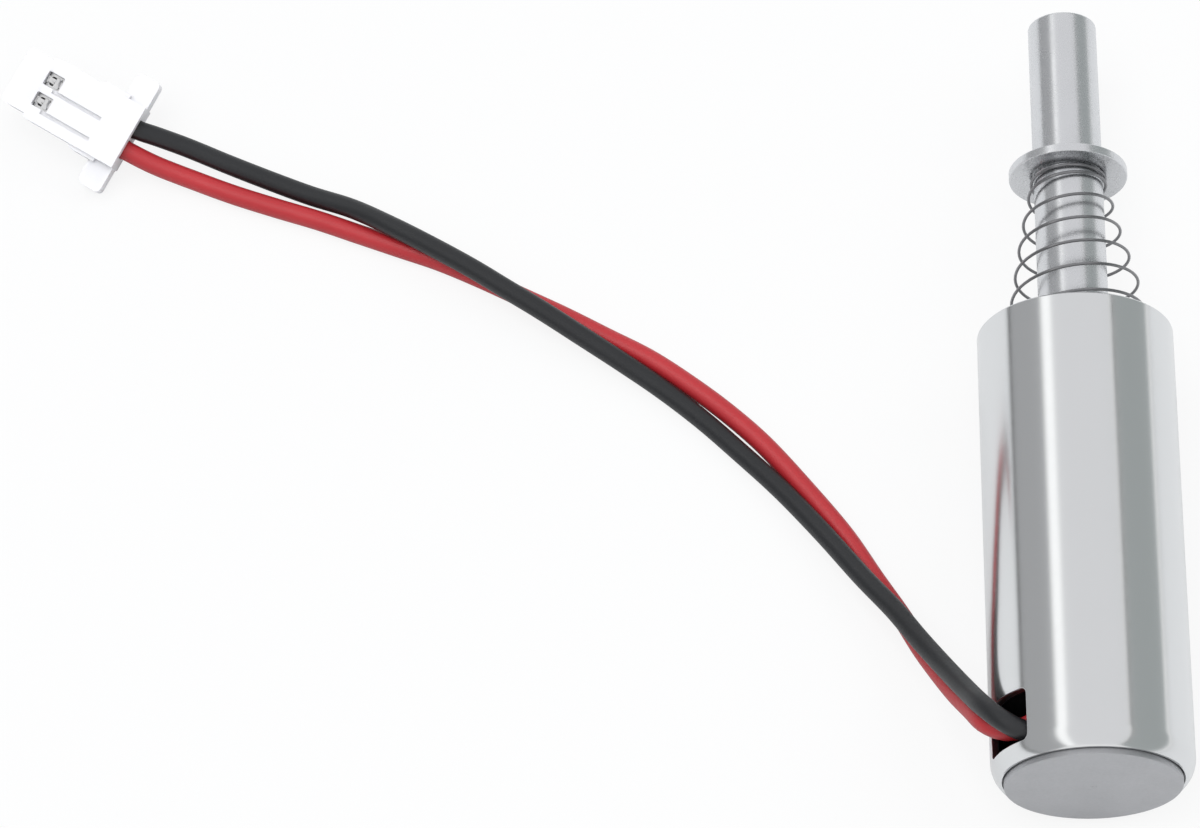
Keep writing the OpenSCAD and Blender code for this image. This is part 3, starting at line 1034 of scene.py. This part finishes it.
        front = Outline()
        front.rounded([
            (self.radius, patch_end, 0.0),
            (self.radius, self.front - self.front_bevel, self.edge),
            (self.radius - self.front_bevel, self.front, self.edge),
            (self.front_bore, self.front, 2 * self.edge),
            (self.front_bore, inner_end, 0.0),
            (self.cavity, inner_end, 0.0),
        ])
        first = self.window_angle - math.pi
        for outline in (rear, front):
            outline.turn(surface, self.columns, first_angle=first)
        piece = surface.build("case_shell_fine", [NICKEL, RAW_EDGE])
        return settle(piece, Body.CASE, NICKEL, "case_shell")


@dataclass
class BasePlug:
    """The flat disc that closes the rear, with its shoulder under the rim and its fixed core."""

    disc_radius: float = 4.37 * MM
    disc_thickness: float = 0.7 * MM
    shoulder_end: float = 1.1 * MM
    core_radius: float = 1.83 * MM
    edge: float = 0.08 * MM
    mark_radius: float = 0.15 * MM
    mark_depth: float = 0.12 * MM

    def build(self) -> bpy.types.Object:
        """Builds the plug and puts it in place.

        Returns:
            The piece.
        """
        low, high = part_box("base_plug")
        shoulder = (high.x - low.x) / 2
        core_end = STACK.station(high.y)
        small = self.edge / 2
        outline = Outline().rounded([
            (0.0, self.mark_depth, 0.0),
            (self.mark_radius, 0.0, self.mark_radius / 3),
            (self.disc_radius, 0.0, self.edge),
            (self.disc_radius, self.disc_thickness, 0.0),
            (shoulder, self.disc_thickness, small),
            (shoulder, self.shoulder_end, small),
            (self.core_radius, self.shoulder_end, small),
            (self.core_radius, core_end, small),
            (0.0, core_end, 0.0),
        ])
        surface = Surface()
        outline.turn(surface)
        return settle(surface.build("base_plug_fine", [DISC_STEEL]), Body.CASE, DISC_STEEL, "base_plug")


# ---------------------------------------------------------------------------
# The plunger and its spring
# ---------------------------------------------------------------------------


@dataclass
class Plunger:
    """The ground rod with its collar."""

    collar_thickness: float = 0.47 * MM
    collar_reach: float = 9.24 * MM
    edge: float = 0.15 * MM
    collar_edge: float = 0.07 * MM
    fillet: float = 0.05 * MM

    def collar_station(self) -> float:
        """Gives the station of the collar's underside."""
        return STACK.station(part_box("case_shell")[1].y) + self.collar_reach

    def build(self) -> bpy.types.Object:
        """Builds the plunger and puts it in place.

        Returns:
            The piece.
        """
        low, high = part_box("plunger")
        rod = mount("plunger_tip")["dims"]["r_mm"] * MM
        collar = (high.x - low.x) / 2
        start, end = STACK.station(low.y), STACK.station(high.y)
        under = self.collar_station()
        over = under + self.collar_thickness
        outline = Outline().rounded([
            (0.0, start, 0.0),
            (rod, start, self.edge),
            (rod, under, self.fillet),
            (collar, under, self.collar_edge),
            (collar, over, self.collar_edge),
            (rod, over, self.fillet),
            (rod, end, self.edge),
            (0.0, end, 0.0),
        ])
        surface = Surface()
        outline.turn(surface)
        return settle(surface.build("plunger_fine", [ROD_STEEL]), Body.PLUNGER, ROD_STEEL, "plunger")


@dataclass
class ReturnSpring:
    """The conical wire spring: close turns under the collar, opening towards the case."""

    wire: float = 0.16 * MM
    turns: float = 7.0
    top_turns: float = 1.0
    bottom_turns: float = 0.45
    close_pitch: float = 0.39 * MM
    narrow_radius: float = 1.93 * MM
    wide_radius: float = 3.36 * MM
    cone_start: float = 1.0
    cone_end: float = 5.5
    sway: float = 0.19 * MM
    sway_start: float = 3.0
    lean: float = 0.038
    seat_gap: float = 0.01 * MM
    ramp_width: float = 0.4
    steps_per_turn: int = 56
    sides: int = 12

    def _ramp(self, x: float) -> float:
        """Gives a ramp that is flat below 0 and bends smoothly into a rise of one for one."""
        if x <= 0.0:
            return 0.0
        if x < self.ramp_width:
            return x * x / (2 * self.ramp_width)
        return x - self.ramp_width / 2

    def _point(self, n: float, length: float, top: float) -> Vector:
        """Gives the wire's centre after n turns.

        Args:
            n: Turns from the collar.
            length: The spring's length.
            top: The station of the collar's underside.

        Returns:
            The place.
        """
        bottom = self.turns - self.bottom_turns
        fall = length - self.wire - 2 * self.seat_gap
        spread = self._ramp(self.turns - self.top_turns) - self._ramp(self.turns - bottom)
        pitch = (fall - self.close_pitch * self.turns) / spread
        drop = self.close_pitch * n + pitch * (self._ramp(n - self.top_turns) - self._ramp(n - bottom))
        part = min(1.0, max(0.0, (n - self.cone_start) / (self.cone_end - self.cone_start)))
        radius = self.narrow_radius + (self.wide_radius - self.narrow_radius) * part
        aside = self.sway * min(1.0, max(0.0, (n - self.sway_start) / (self.cone_end - self.sway_start)))
        angle = 2 * math.pi * n
        share = min(1.0, max(0.0, n - 0.8)) * min(1.0, max(0.0, self.turns - n - 0.2))
        tilt = self.lean * radius * math.cos(angle) * share
        station = top - self.wire / 2 - self.seat_gap - drop + tilt
        return STACK.point(radius, angle, station) + Vector((aside, 0.0, 0.0))

    def build(self, plunger: Plunger) -> bpy.types.Object:
        """Builds the spring, puts it in place and gives it a mesh of its own.

        Args:
            plunger: The plunger whose collar it bears on.

        Returns:
            The piece.
        """
        length = plunger.collar_reach
        top = plunger.collar_station()
        count = int(self.turns * self.steps_per_turn)
        path = [self._point(i / self.steps_per_turn, length, top) for i in range(count + 1)]
        surface = Surface()
        taper = 5

        def radius(i: int) -> float:
            """Gives the wire's radius, drawn in a little at its two cut ends."""
            return self.wire / 2 * min(1.0, 0.9 + 0.1 * min(i, count - i) / taper)

        sweep(surface, path, radius, self.sides, Vector((0.0, 1.0, 0.0)))
        piece = settle(surface.build("return_spring_fine", [SPRING_STEEL]), Body.CASE, SPRING_STEEL, "return_spring")
        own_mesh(piece)
        return piece


# ---------------------------------------------------------------------------
# The plug
# ---------------------------------------------------------------------------


@dataclass
class CrimpPlug:
    """The two-way crimp housing with its contacts, on its rear edge with its nose held up."""

    length: float = 6.9
    body_width: float = 3.64
    body_height: float = 2.6
    nose_length: float = 1.4
    nose_width: float = 3.2
    ear_width: float = 6.68
    ear_length: float = 1.35
    rib_width: float = 4.04
    rib_length: float = 1.25
    rib_height: float = 2.2
    pitch: float = 1.25
    roll: float = math.radians(-22.0)
    edge: float = 0.13

    def __post_init__(self) -> None:
        """Works out the plug's place from the mount at its mating face."""
        face = mount("plug_mating_face")
        ahead = Vector(face["axis"]).normalized()
        rear = Vector(face["pos_m"]) - ahead * self.length * MM
        turn, lift = math.atan2(ahead.y, ahead.x), math.asin(ahead.z)
        heading = Matrix.Rotation(turn, 4, "Z") @ Matrix.Rotation(-lift, 4, "Y")
        self.place = Matrix.Translation(rear) @ heading @ Matrix.Rotation(self.roll, 4, "X")
        self.ear_height = self.body_height - (self.ear_width - self.body_width) * math.tan(-self.roll)

    def point(self, x: float, y: float, z: float = 0.0) -> Vector:
        """Gives a place in the part's frame from one in the plug's own millimetres."""
        return self.place @ (Vector((x, y, z)) * MM)

    @staticmethod
    def _slab(corners: Sequence[tuple[float, float, float]], low: float, high: float) -> bpy.types.Object:
        """Extrudes a flat outline with rounded corners.

        Args:
            corners: (x, y, corner radius) in order round the outline.
            low: The height of its underside.
            high: The height of its top.

        Returns:
            The block, in millimetres.
        """
        outline = []
        count = len(corners)
        for i, (x, y, radius) in enumerate(corners):
            here = Vector((x, y))
            before = (Vector(corners[i - 1][:2]) - here).normalized()
            after = (Vector(corners[(i + 1) % count][:2]) - here).normalized()
            if radius <= 0.0:
                outline.append(here)
                continue
            steps = 6
            for k in range(steps + 1):
                t = k / steps
                a, b = here + before * radius, here + after * radius
                outline.append(a * (1 - t) ** 2 + here * 2 * t * (1 - t) + b * t ** 2)
        shape = bmesh.new()
        bottom = [shape.verts.new((p.x, p.y, low)) for p in outline]
        face = shape.faces.new(bottom)
        made = bmesh.ops.extrude_face_region(shape, geom=[face])
        lifted = [v for v in made["geom"] if isinstance(v, bmesh.types.BMVert)]
        bmesh.ops.translate(shape, verts=lifted, vec=(0, 0, high - low))
        bmesh.ops.recalc_face_normals(shape, faces=shape.faces)
        mesh = bpy.data.meshes.new("slab")
        shape.to_mesh(mesh)
        shape.free()
        block = bpy.data.objects.new("slab", mesh)
        bpy.context.scene.collection.objects.link(block)
        return block

    def _block(self, x: float, length: float, width: float, height: float, y: float = 0.0,
               low: Optional[float] = None, radii: Sequence[float] = (0.0, 0.0)) -> bpy.types.Object:
        """Makes a block along the plug.

        Args:
            x: Where it starts.
            length: Its length.
            width: Its width.
            height: Its height.
            y: Where its middle is across the plug.
            low: Its underside; by default it is centred in height.
            radii: The corner radii at its rear and its front, seen from above.

        Returns:
            The block, in millimetres.
        """
        bottom = -height / 2 if low is None else low
        rear, front = radii
        return self._slab(
            [
                (x, y - width / 2, rear),
                (x + length, y - width / 2, front),
                (x + length, y + width / 2, front),
                (x, y + width / 2, rear),
            ],
            bottom,
            bottom + height,
        )

    @staticmethod
    def _merge(base: bpy.types.Object, others: Iterable[bpy.types.Object], operation: str) -> None:
        """Adds or cuts blocks, and removes them after that.

        Args:
            base: The block that is changed.
            others: The blocks that are added or cut.
            operation: UNION or DIFFERENCE.
        """
        for other in others:
            modifier = base.modifiers.new("join", "BOOLEAN")
            modifier.operation = operation
            modifier.solver = "EXACT"
            modifier.object = other
            graph = bpy.context.evaluated_depsgraph_get()
            made = bpy.data.meshes.new_from_object(base.evaluated_get(graph))
            base.modifiers.clear()
            base.data = made
            bpy.data.objects.remove(other)

    @staticmethod
    def _soften(block: bpy.types.Object, width: float, segments: int = 3) -> None:
        """Rounds the sharp edges of a block."""
        modifier = block.modifiers.new("soften", "BEVEL")
        modifier.limit_method = "ANGLE"
        modifier.angle_limit = math.radians(35.0)
        modifier.width = width
        modifier.segments = segments
        modifier.harden_normals = False
        modifier.miter_outer = "MITER_ARC"
        graph = bpy.context.evaluated_depsgraph_get()
        made = bpy.data.meshes.new_from_object(block.evaluated_get(graph))
        block.modifiers.clear()
        block.data = made

    def _finished(self, block: bpy.types.Object, name: str, finish: Finish) -> bpy.types.Object:
        """Brings a block from the plug's millimetres to its place and dresses it.

        Args:
            block: The block.
            name: The piece's name.
            finish: Its finish.

        Returns:
            The piece.
        """
        block.name = name
        block.data.name = name
        block.data.transform(self.place @ Matrix.Scale(MM, 4))
        block.data.materials.clear()
        block.data.materials.append(finish.material())
        for polygon in block.data.polygons:
            polygon.use_smooth = True
        weighted = block.modifiers.new("weighted", "WEIGHTED_NORMAL")
        weighted.keep_sharp = True
        graph = bpy.context.evaluated_depsgraph_get()
        made = bpy.data.meshes.new_from_object(block.evaluated_get(graph))
        block.modifiers.clear()
        block.data = made
        return block

    def housing(self) -> bpy.types.Object:
        """Builds the moulded housing.

        Returns:
            The piece.
        """
        body_end = self.length - self.nose_length
        body = self._block(0.0, body_end, self.body_width, self.body_height, radii=(0.05, 0.25))
        ears = self._block(0.0, self.ear_length, self.ear_width, self.ear_height, radii=(0.3, 0.45))
        ribs = self._block(self.ear_length - 0.3, self.rib_length + 0.3, self.rib_width, self.rib_height,
                           radii=(0.0, 0.15))
        nose = self._block(body_end - 0.4, self.nose_length + 0.4, self.nose_width, self.body_height,
                           radii=(0.0, 0.3))
        self._merge(body, [ears, ribs, nose], "UNION")
        self._soften(body, self.edge)
        cuts = []
        for row in (-self.pitch / 2, self.pitch / 2):
            cuts += [
                self._block(-1.0, 3.6, 1.1, 1.2, y=row),
                self._block(-1.0, 7.55, 0.95, 1.1, y=row),
                self._block(3.0, 6.0, 0.6, 0.6, y=row),
                self._block(4.44, 0.96, 0.8, 3.0, y=row, low=0.0, radii=(0.1, 0.1)),
                self._block(1.77, 2.97, 0.22, 1.0, y=row + 0.51, low=self.body_height / 2 - 0.3),
            ]
        self._merge(body, cuts, "DIFFERENCE")
        self._soften(body, 0.025, segments=2)
        piece = self._finished(body, "connector_housing_fine", NYLON)
        return settle(piece, Body.CASE, NYLON, "connector_housing")

    def contact(self, row: float, name: str, node: str) -> bpy.types.Object:
        """Builds one crimp contact.

        Args:
            row: Where it is across the plug.
            name: The piece's name.
            node: The CAD node it stands for.

        Returns:
            The piece.
        """
        box = self._block(2.45, 3.9, 0.8, 0.85, y=row, radii=(0.08, 0.08))
        self._merge(
            box,
            [
                self._block(2.35, 4.2, 0.6, 0.65, y=row),
                self._block(4.62, 0.62, 0.5, 1.0, y=row, low=0.2, radii=(0.12, 0.12)),
            ],
            "DIFFERENCE",
        )
        lance = self._slab(
            [(4.55, row - 0.18, 0.0), (5.35, row - 0.14, 0.05), (5.35, row + 0.14, 0.05), (4.55, row + 0.18, 0.0)],
            0.0, 0.09,
        )
        for vertex in lance.data.vertices:
            along = (vertex.co.x - 4.55) / 0.8
            vertex.co.z += 0.30 + 0.34 * math.sin(along * math.pi * 0.8)
        curl = self._block(4.66, 0.3, 0.62, 0.1, y=row, low=0.44, radii=(0.1, 0.1))
        for vertex in curl.data.vertices:
            vertex.co.z += 0.28 * abs(vertex.co.y - row)
        barrel = self._block(1.0, 1.5, 0.6, 0.6, y=row)
        self._soften(barrel, 0.26, segments=5)
        self._merge(barrel, [self._block(0.8, 1.45, 0.36, 0.36, y=row)], "DIFFERENCE")
        self._merge(box, [lance, curl, barrel], "UNION")
        self._soften(box, 0.02, segments=2)
        piece = self._finished(box, name, TIN)
        return settle(piece, Body.CASE, TIN, node)


# ---------------------------------------------------------------------------
# The leads
# ---------------------------------------------------------------------------


@dataclass
class Lead:
    """One insulated lead: its points from the plug to the window, and its wrap inside the case."""

    name: str
    node: str
    finish: Finish
    row: float
    route: Sequence[Point]
    wrap_start: float
    wrap_end: float
    wrap_station: float
    length: float
    diameter: float = 1.05 * MM
    wrap_radius: float = 3.5 * MM
    wrap_step: float = 9.0
    into_plug: float = 0.9
    sides: int = 28
    ring_gap: float = 0.3 * MM

    def _wrap(self) -> list[Point]:
        """Draws the part that goes round the bobbin.

        Returns:
            Its points.
        """
        steps = math.ceil((self.wrap_start - self.wrap_end) / self.wrap_step)
        angles = [self.wrap_start + (self.wrap_end - self.wrap_start) * k / steps for k in range(steps + 1)]
        return [tuple(STACK.point(self.wrap_radius, math.radians(a), self.wrap_station)) for a in angles]

    def build(self, plug: CrimpPlug) -> bpy.types.Object:
        """Builds the lead, from inside the case to the plug.

        Args:
            plug: The plug that it ends in.

        Returns:
            The piece.
        """
        into_plug = [tuple(plug.point(self.into_plug, self.row)), tuple(plug.point(0.0, self.row))]
        along = [tuple(part * MM for part in point) for point in self.route]
        path = smooth_route(into_plug + along + self._wrap(), self.ring_gap)
        path.reverse()
        count = len(path)
        rounded = 3

        def radius(i: int) -> float:
            """Gives the insulation's radius, drawn in a little at its two cut ends."""
            return self.diameter / 2 * (0.97 + 0.03 * min(1.0, min(i, count - 1 - i) / rounded))

        surface = Surface()
        sweep(surface, path, radius, self.sides, Vector((0.0, 0.0, 1.0)))
        piece = settle(surface.build(self.name, [self.finish]), Body.CASE, self.finish, self.node)
        self.path = path
        LOG.info("%s is %.1f mm long", self.name, route_length(path) / MM)
        return piece

    def declare(self, shell: CaseShell) -> None:
        """Args:
            shell: The case it leaves.
        """
        leaves = STACK.point(shell.radius, shell.window_angle, shell.window_middle)


BLACK_LEAD = Lead(
    name="black_lead_fine", node="black_lead", finish=BLACK_PVC, row=-0.625, length=0.0680,
    route=[
        (-48.05, 16.1, 1.8), (-46.45, 15.65, 1.45), (-44.25, 14.85, 1.1), (-42.0, 14.0, 0.9),
        (-39.8, 13.15, 0.85), (-37.6, 12.25, 1.15), (-35.5, 11.0, 1.6), (-33.4, 9.8, 1.7),
        (-31.2, 8.5, 1.7), (-29.3, 7.3, 1.6), (-27.4, 6.1, 1.5), (-25.4, 4.8, 1.3),
        (-23.2, 3.4, 1.0), (-21.1, 2.0, 0.7), (-19.0, 0.3, 0.6), (-17.0, -1.6, 0.6),
        (-14.9, -3.8, 0.8), (-12.8, -6.4, 1.2), (-10.9, -9.0, 1.7), (-9.35, -11.05, 2.25),
        (-8.15, -13.05, 3.05), (-7.05, -15.0, 4.2), (-6.15, -16.8, 5.65), (-5.46, -18.26, 7.09),
        (-4.62, -19.26, 7.74), (-3.6, -19.78, 7.73), (-2.56, -19.79, 7.72),
    ],
    wrap_start=118.0, wrap_end=50.0, wrap_station=1.9 * MM,
)
RED_LEAD = Lead(
    name="red_lead_fine", node="red_lead", finish=RED_PVC, row=0.625, length=0.0670,
    route=[
        (-48.15, 14.7, 1.2), (-46.0, 14.0, 0.8), (-43.9, 13.25, 0.65), (-41.6, 12.5, 0.6),
        (-39.4, 11.8, 0.6), (-37.2, 11.0, 0.6), (-35.0, 10.2, 0.6), (-32.8, 9.4, 0.6),
        (-30.6, 8.4, 0.6), (-28.4, 7.3, 0.6), (-26.2, 6.2, 0.6), (-24.0, 5.0, 0.6),
        (-21.8, 3.8, 0.6), (-19.8, 2.4, 0.6), (-17.8, 0.8, 0.6), (-15.8, -1.1, 0.6),
        (-13.7, -3.6, 0.6), (-11.7, -6.2, 0.6), (-10.2, -8.7, 0.75), (-8.85, -10.95, 1.0),
        (-7.95, -12.9, 1.6), (-7.15, -14.65, 2.55), (-6.45, -16.2, 3.65), (-5.85, -17.55, 4.95),
        (-5.35, -18.65, 6.0), (-4.62, -19.17, 6.36), (-3.93, -19.29, 6.58), (-3.19, -19.14, 6.87),
        (-2.53, -18.7, 7.34),
    ],
    wrap_start=118.0, wrap_end=92.0, wrap_station=3.2 * MM,
)


# ---------------------------------------------------------------------------
# The pieces that keep their CAD meshes
# ---------------------------------------------------------------------------

CARRIED_OVER: dict[str, Finish] = {
    "rear_insulator": BLACK_MOULD,
    "pole_shim": BRASS,
    "guide_tube": BRASS,
    "bobbin": BLACK_MOULD,
    "coil_winding": COPPER,
    "coil_tape": TAPE,
    "black_conductor": TIN,
    "red_conductor": TIN,
    "black_sleeve": BLACK_MOULD,
    "red_sleeve": BLACK_MOULD,
    "black_joint": TIN,
    "red_joint": TIN,
    "black_coil_tail": COPPER_WIRE,
    "red_coil_tail": COPPER_WIRE,
}


# ---------------------------------------------------------------------------
# The studio
# ---------------------------------------------------------------------------


@dataclass(frozen=True)
class Card:
    """A reflector or flag that only glossy surfaces see, hung round the object's axis."""

    name: str
    start_deg: float
    end_deg: float
    brightness: float
    tint: Colour = (1.0, 1.0, 1.0)
    distance: float = 0.35
    near_y: float = -0.5
    far_y: float = 0.9

    def hang(self) -> bpy.types.Object:
        """Makes the card, seen only by glossy rays.

        Returns:
            The card.
        """
        corners = []
        for degrees, y in (
            (self.start_deg, self.near_y), (self.end_deg, self.near_y),
            (self.end_deg, self.far_y), (self.start_deg, self.far_y),
        ):
            angle = math.radians(degrees)
            corners.append((self.distance * math.cos(angle), y, self.distance * math.sin(angle)))
        mesh = bpy.data.meshes.new(self.name)
        mesh.from_pydata(corners, [], [(0, 1, 2, 3)])
        card = bpy.data.objects.new(self.name, mesh)
        bpy.context.scene.collection.objects.link(card)
        material = bpy.data.materials.new(self.name)
        material.use_nodes = True
        board = Board(material.node_tree)
        board.finish(board.node("ShaderNodeEmission", None, {"Color": self.tint, "Strength": self.brightness}))
        mesh.materials.append(material)
        card.visible_camera = False
        card.visible_diffuse = False
        card.visible_shadow = False
        card.visible_transmission = False
        card.visible_volume_scatter = False
        return card


@dataclass
class Studio:
    """Camera, lamps, floor, world and the cards that the metal mirrors."""

    camera_place: Point = (-0.023906, -0.097375, 0.197651)
    camera_azimuth: float = math.radians(-0.224)
    camera_drop: float = math.radians(63.577)
    camera_roll: float = math.radians(0.528)
    camera_view: float = math.radians(16.12)
    floor_size: float = 3.0
    cards: Sequence[Card] = field(default_factory=lambda: (
        Card("left low flag", 176.0, 188.0, 0.06),
        Card("left wall", 136.0, 176.0, 0.46, tint=(0.97, 0.98, 1.0)),
        Card("left strip", 124.0, 134.0, 1.35),
        Card("ceiling", 57.0, 122.0, 0.86, tint=(0.98, 0.98, 1.0)),
        Card("ceiling edge flag", 50.5, 53.5, 0.12),
        Card("right wall", 6.0, 50.0, 0.44, tint=(0.94, 1.0, 1.0)),
    ))

    def set_camera(self) -> None:
        """Places the camera."""
        az, drop, roll = self.camera_azimuth, self.camera_drop, self.camera_roll
        ahead = Vector((math.sin(az) * math.cos(drop), math.cos(az) * math.cos(drop), -math.sin(drop)))
        level = Vector((math.cos(az), -math.sin(az), 0.0))
        above = level.cross(ahead)
        right = math.cos(roll) * level + math.sin(roll) * above
        up = -math.sin(roll) * level + math.cos(roll) * above
        data = bpy.data.cameras.new("camera")
        data.sensor_fit = "HORIZONTAL"
        data.angle = self.camera_view
        data.clip_start = 0.005
        data.clip_end = 20.0
        camera = bpy.data.objects.new("camera", data)
        bpy.context.scene.collection.objects.link(camera)
        turn = Matrix((right, up, -ahead)).transposed().to_4x4()
        camera.matrix_world = Matrix.Translation(self.camera_place) @ turn
        bpy.context.scene.camera = camera

    def _lamp(self, name: str, place: Point, size: float, power: float, seen: bool) -> None:
        """Adds a soft lamp that points at the object.

        Args:
            name: Its name.
            place: Where it hangs.
            size: The side of its square.
            power: Its power in watts.
            seen: Whether glossy surfaces see it.
        """
        data = bpy.data.lights.new(name, "AREA")
        data.size = size
        data.energy = power
        lamp = bpy.data.objects.new(name, data)
        bpy.context.scene.collection.objects.link(lamp)
        lamp.location = place
        aim = Vector((-0.015, 0.0, 0.0)) - Vector(place)
        lamp.rotation_euler = aim.to_track_quat("-Z", "Y").to_euler()
        lamp.visible_glossy = seen

    @staticmethod
    def _background_share(board: Board, glossy: float) -> Sock:
        """Gives how far a ray sees the plain white background.

        Args:
            board: The board it is written on.
            glossy: The share that glossy and transmitted rays see.

        Returns:
            The share.
        """
        camera = board.node("ShaderNodeLightPath", output="Is Camera Ray")
        mirror = board.node("ShaderNodeLightPath", output="Is Glossy Ray")
        through = board.node("ShaderNodeLightPath", output="Is Transmission Ray")
        return camera + (mirror.higher(through)) * glossy

    def set_floor(self) -> None:
        """Lays the floor, which keeps the object's shadow."""
        half = self.floor_size / 2
        mesh = bpy.data.meshes.new("floor")
        mesh.from_pydata([(-half, -half, 0), (half, -half, 0), (half, half, 0), (-half, half, 0)], [], [(0, 1, 2, 3)])
        floor = bpy.data.objects.new("floor", mesh)
        bpy.context.scene.collection.objects.link(floor)
        material = bpy.data.materials.new("floor paper")
        material.use_nodes = True
        board = Board(material.node_tree)
        paper = board.node("ShaderNodeBsdfDiffuse", None, {"Color": (0.66, 0.665, 0.67)})
        white = board.node("ShaderNodeEmission", None, {"Color": (1.0, 1.0, 1.0), "Strength": 1.0})
        share = self._background_share(board, glossy=0.28) * 0.86
        board.finish(board.node("ShaderNodeMixShader", None, {0: share, 1: paper, 2: white}))
        mesh.materials.append(material)

    def set_world(self) -> None:
        """Sets the soft light that comes from all round, and the white that the camera sees."""
        world = bpy.data.worlds.new("studio air")
        bpy.context.scene.world = world
        world.use_nodes = True
        board = Board(world.node_tree)
        air = board.node("ShaderNodeBackground", None, {"Color": (0.62, 0.63, 0.65), "Strength": 1.0})
        white = board.node("ShaderNodeBackground", None, {"Color": (1.0, 1.0, 1.0), "Strength": 1.0})
        share = self._background_share(board, glossy=1.0)
        mixed = board.node("ShaderNodeMixShader", None, {0: share.clamped(), 1: air, 2: white})
        board.node("ShaderNodeOutputWorld", None, {"Surface": mixed})

    def set_light(self) -> None:
        """Hangs the lamps and the cards, and sets how the picture is shown."""
        self._lamp("key lamp", (-0.12, -0.05, 0.40), 0.30, 1.25, seen=False)
        self._lamp("fill lamp", (0.25, 0.10, 0.35), 0.35, 0.55, seen=False)
        for card in self.cards:
            card.hang()
        bpy.context.scene.view_settings.view_transform = "Standard"


# ---------------------------------------------------------------------------


def main() -> None:
    """Builds the scene in order and reports each piece."""
    logging.basicConfig(level=logging.INFO, format="%(name)s: %(message)s")
    studio = Studio()
    studio.set_camera()
    plug = CrimpPlug()
    shell = CaseShell()
    black, red = BLACK_LEAD.build(plug), RED_LEAD.build(plug)
    housing = plug.housing()
    black_contact = plug.contact(-plug.pitch / 2, "black_terminal_fine", "black_terminal")
    red_contact = plug.contact(plug.pitch / 2, "red_terminal_fine", "red_terminal")
    BLACK_LEAD.declare(shell)
    RED_LEAD.declare(shell)
    shell.build()
    BasePlug().build()
    plunger = Plunger()
    plunger.build()
    ReturnSpring().build(plunger)
    for node, finish in CARRIED_OVER.items():
        dress(node, finish)
    studio.set_floor()
    studio.set_world()
    studio.set_light()


if __name__ == "__main__":
    main()
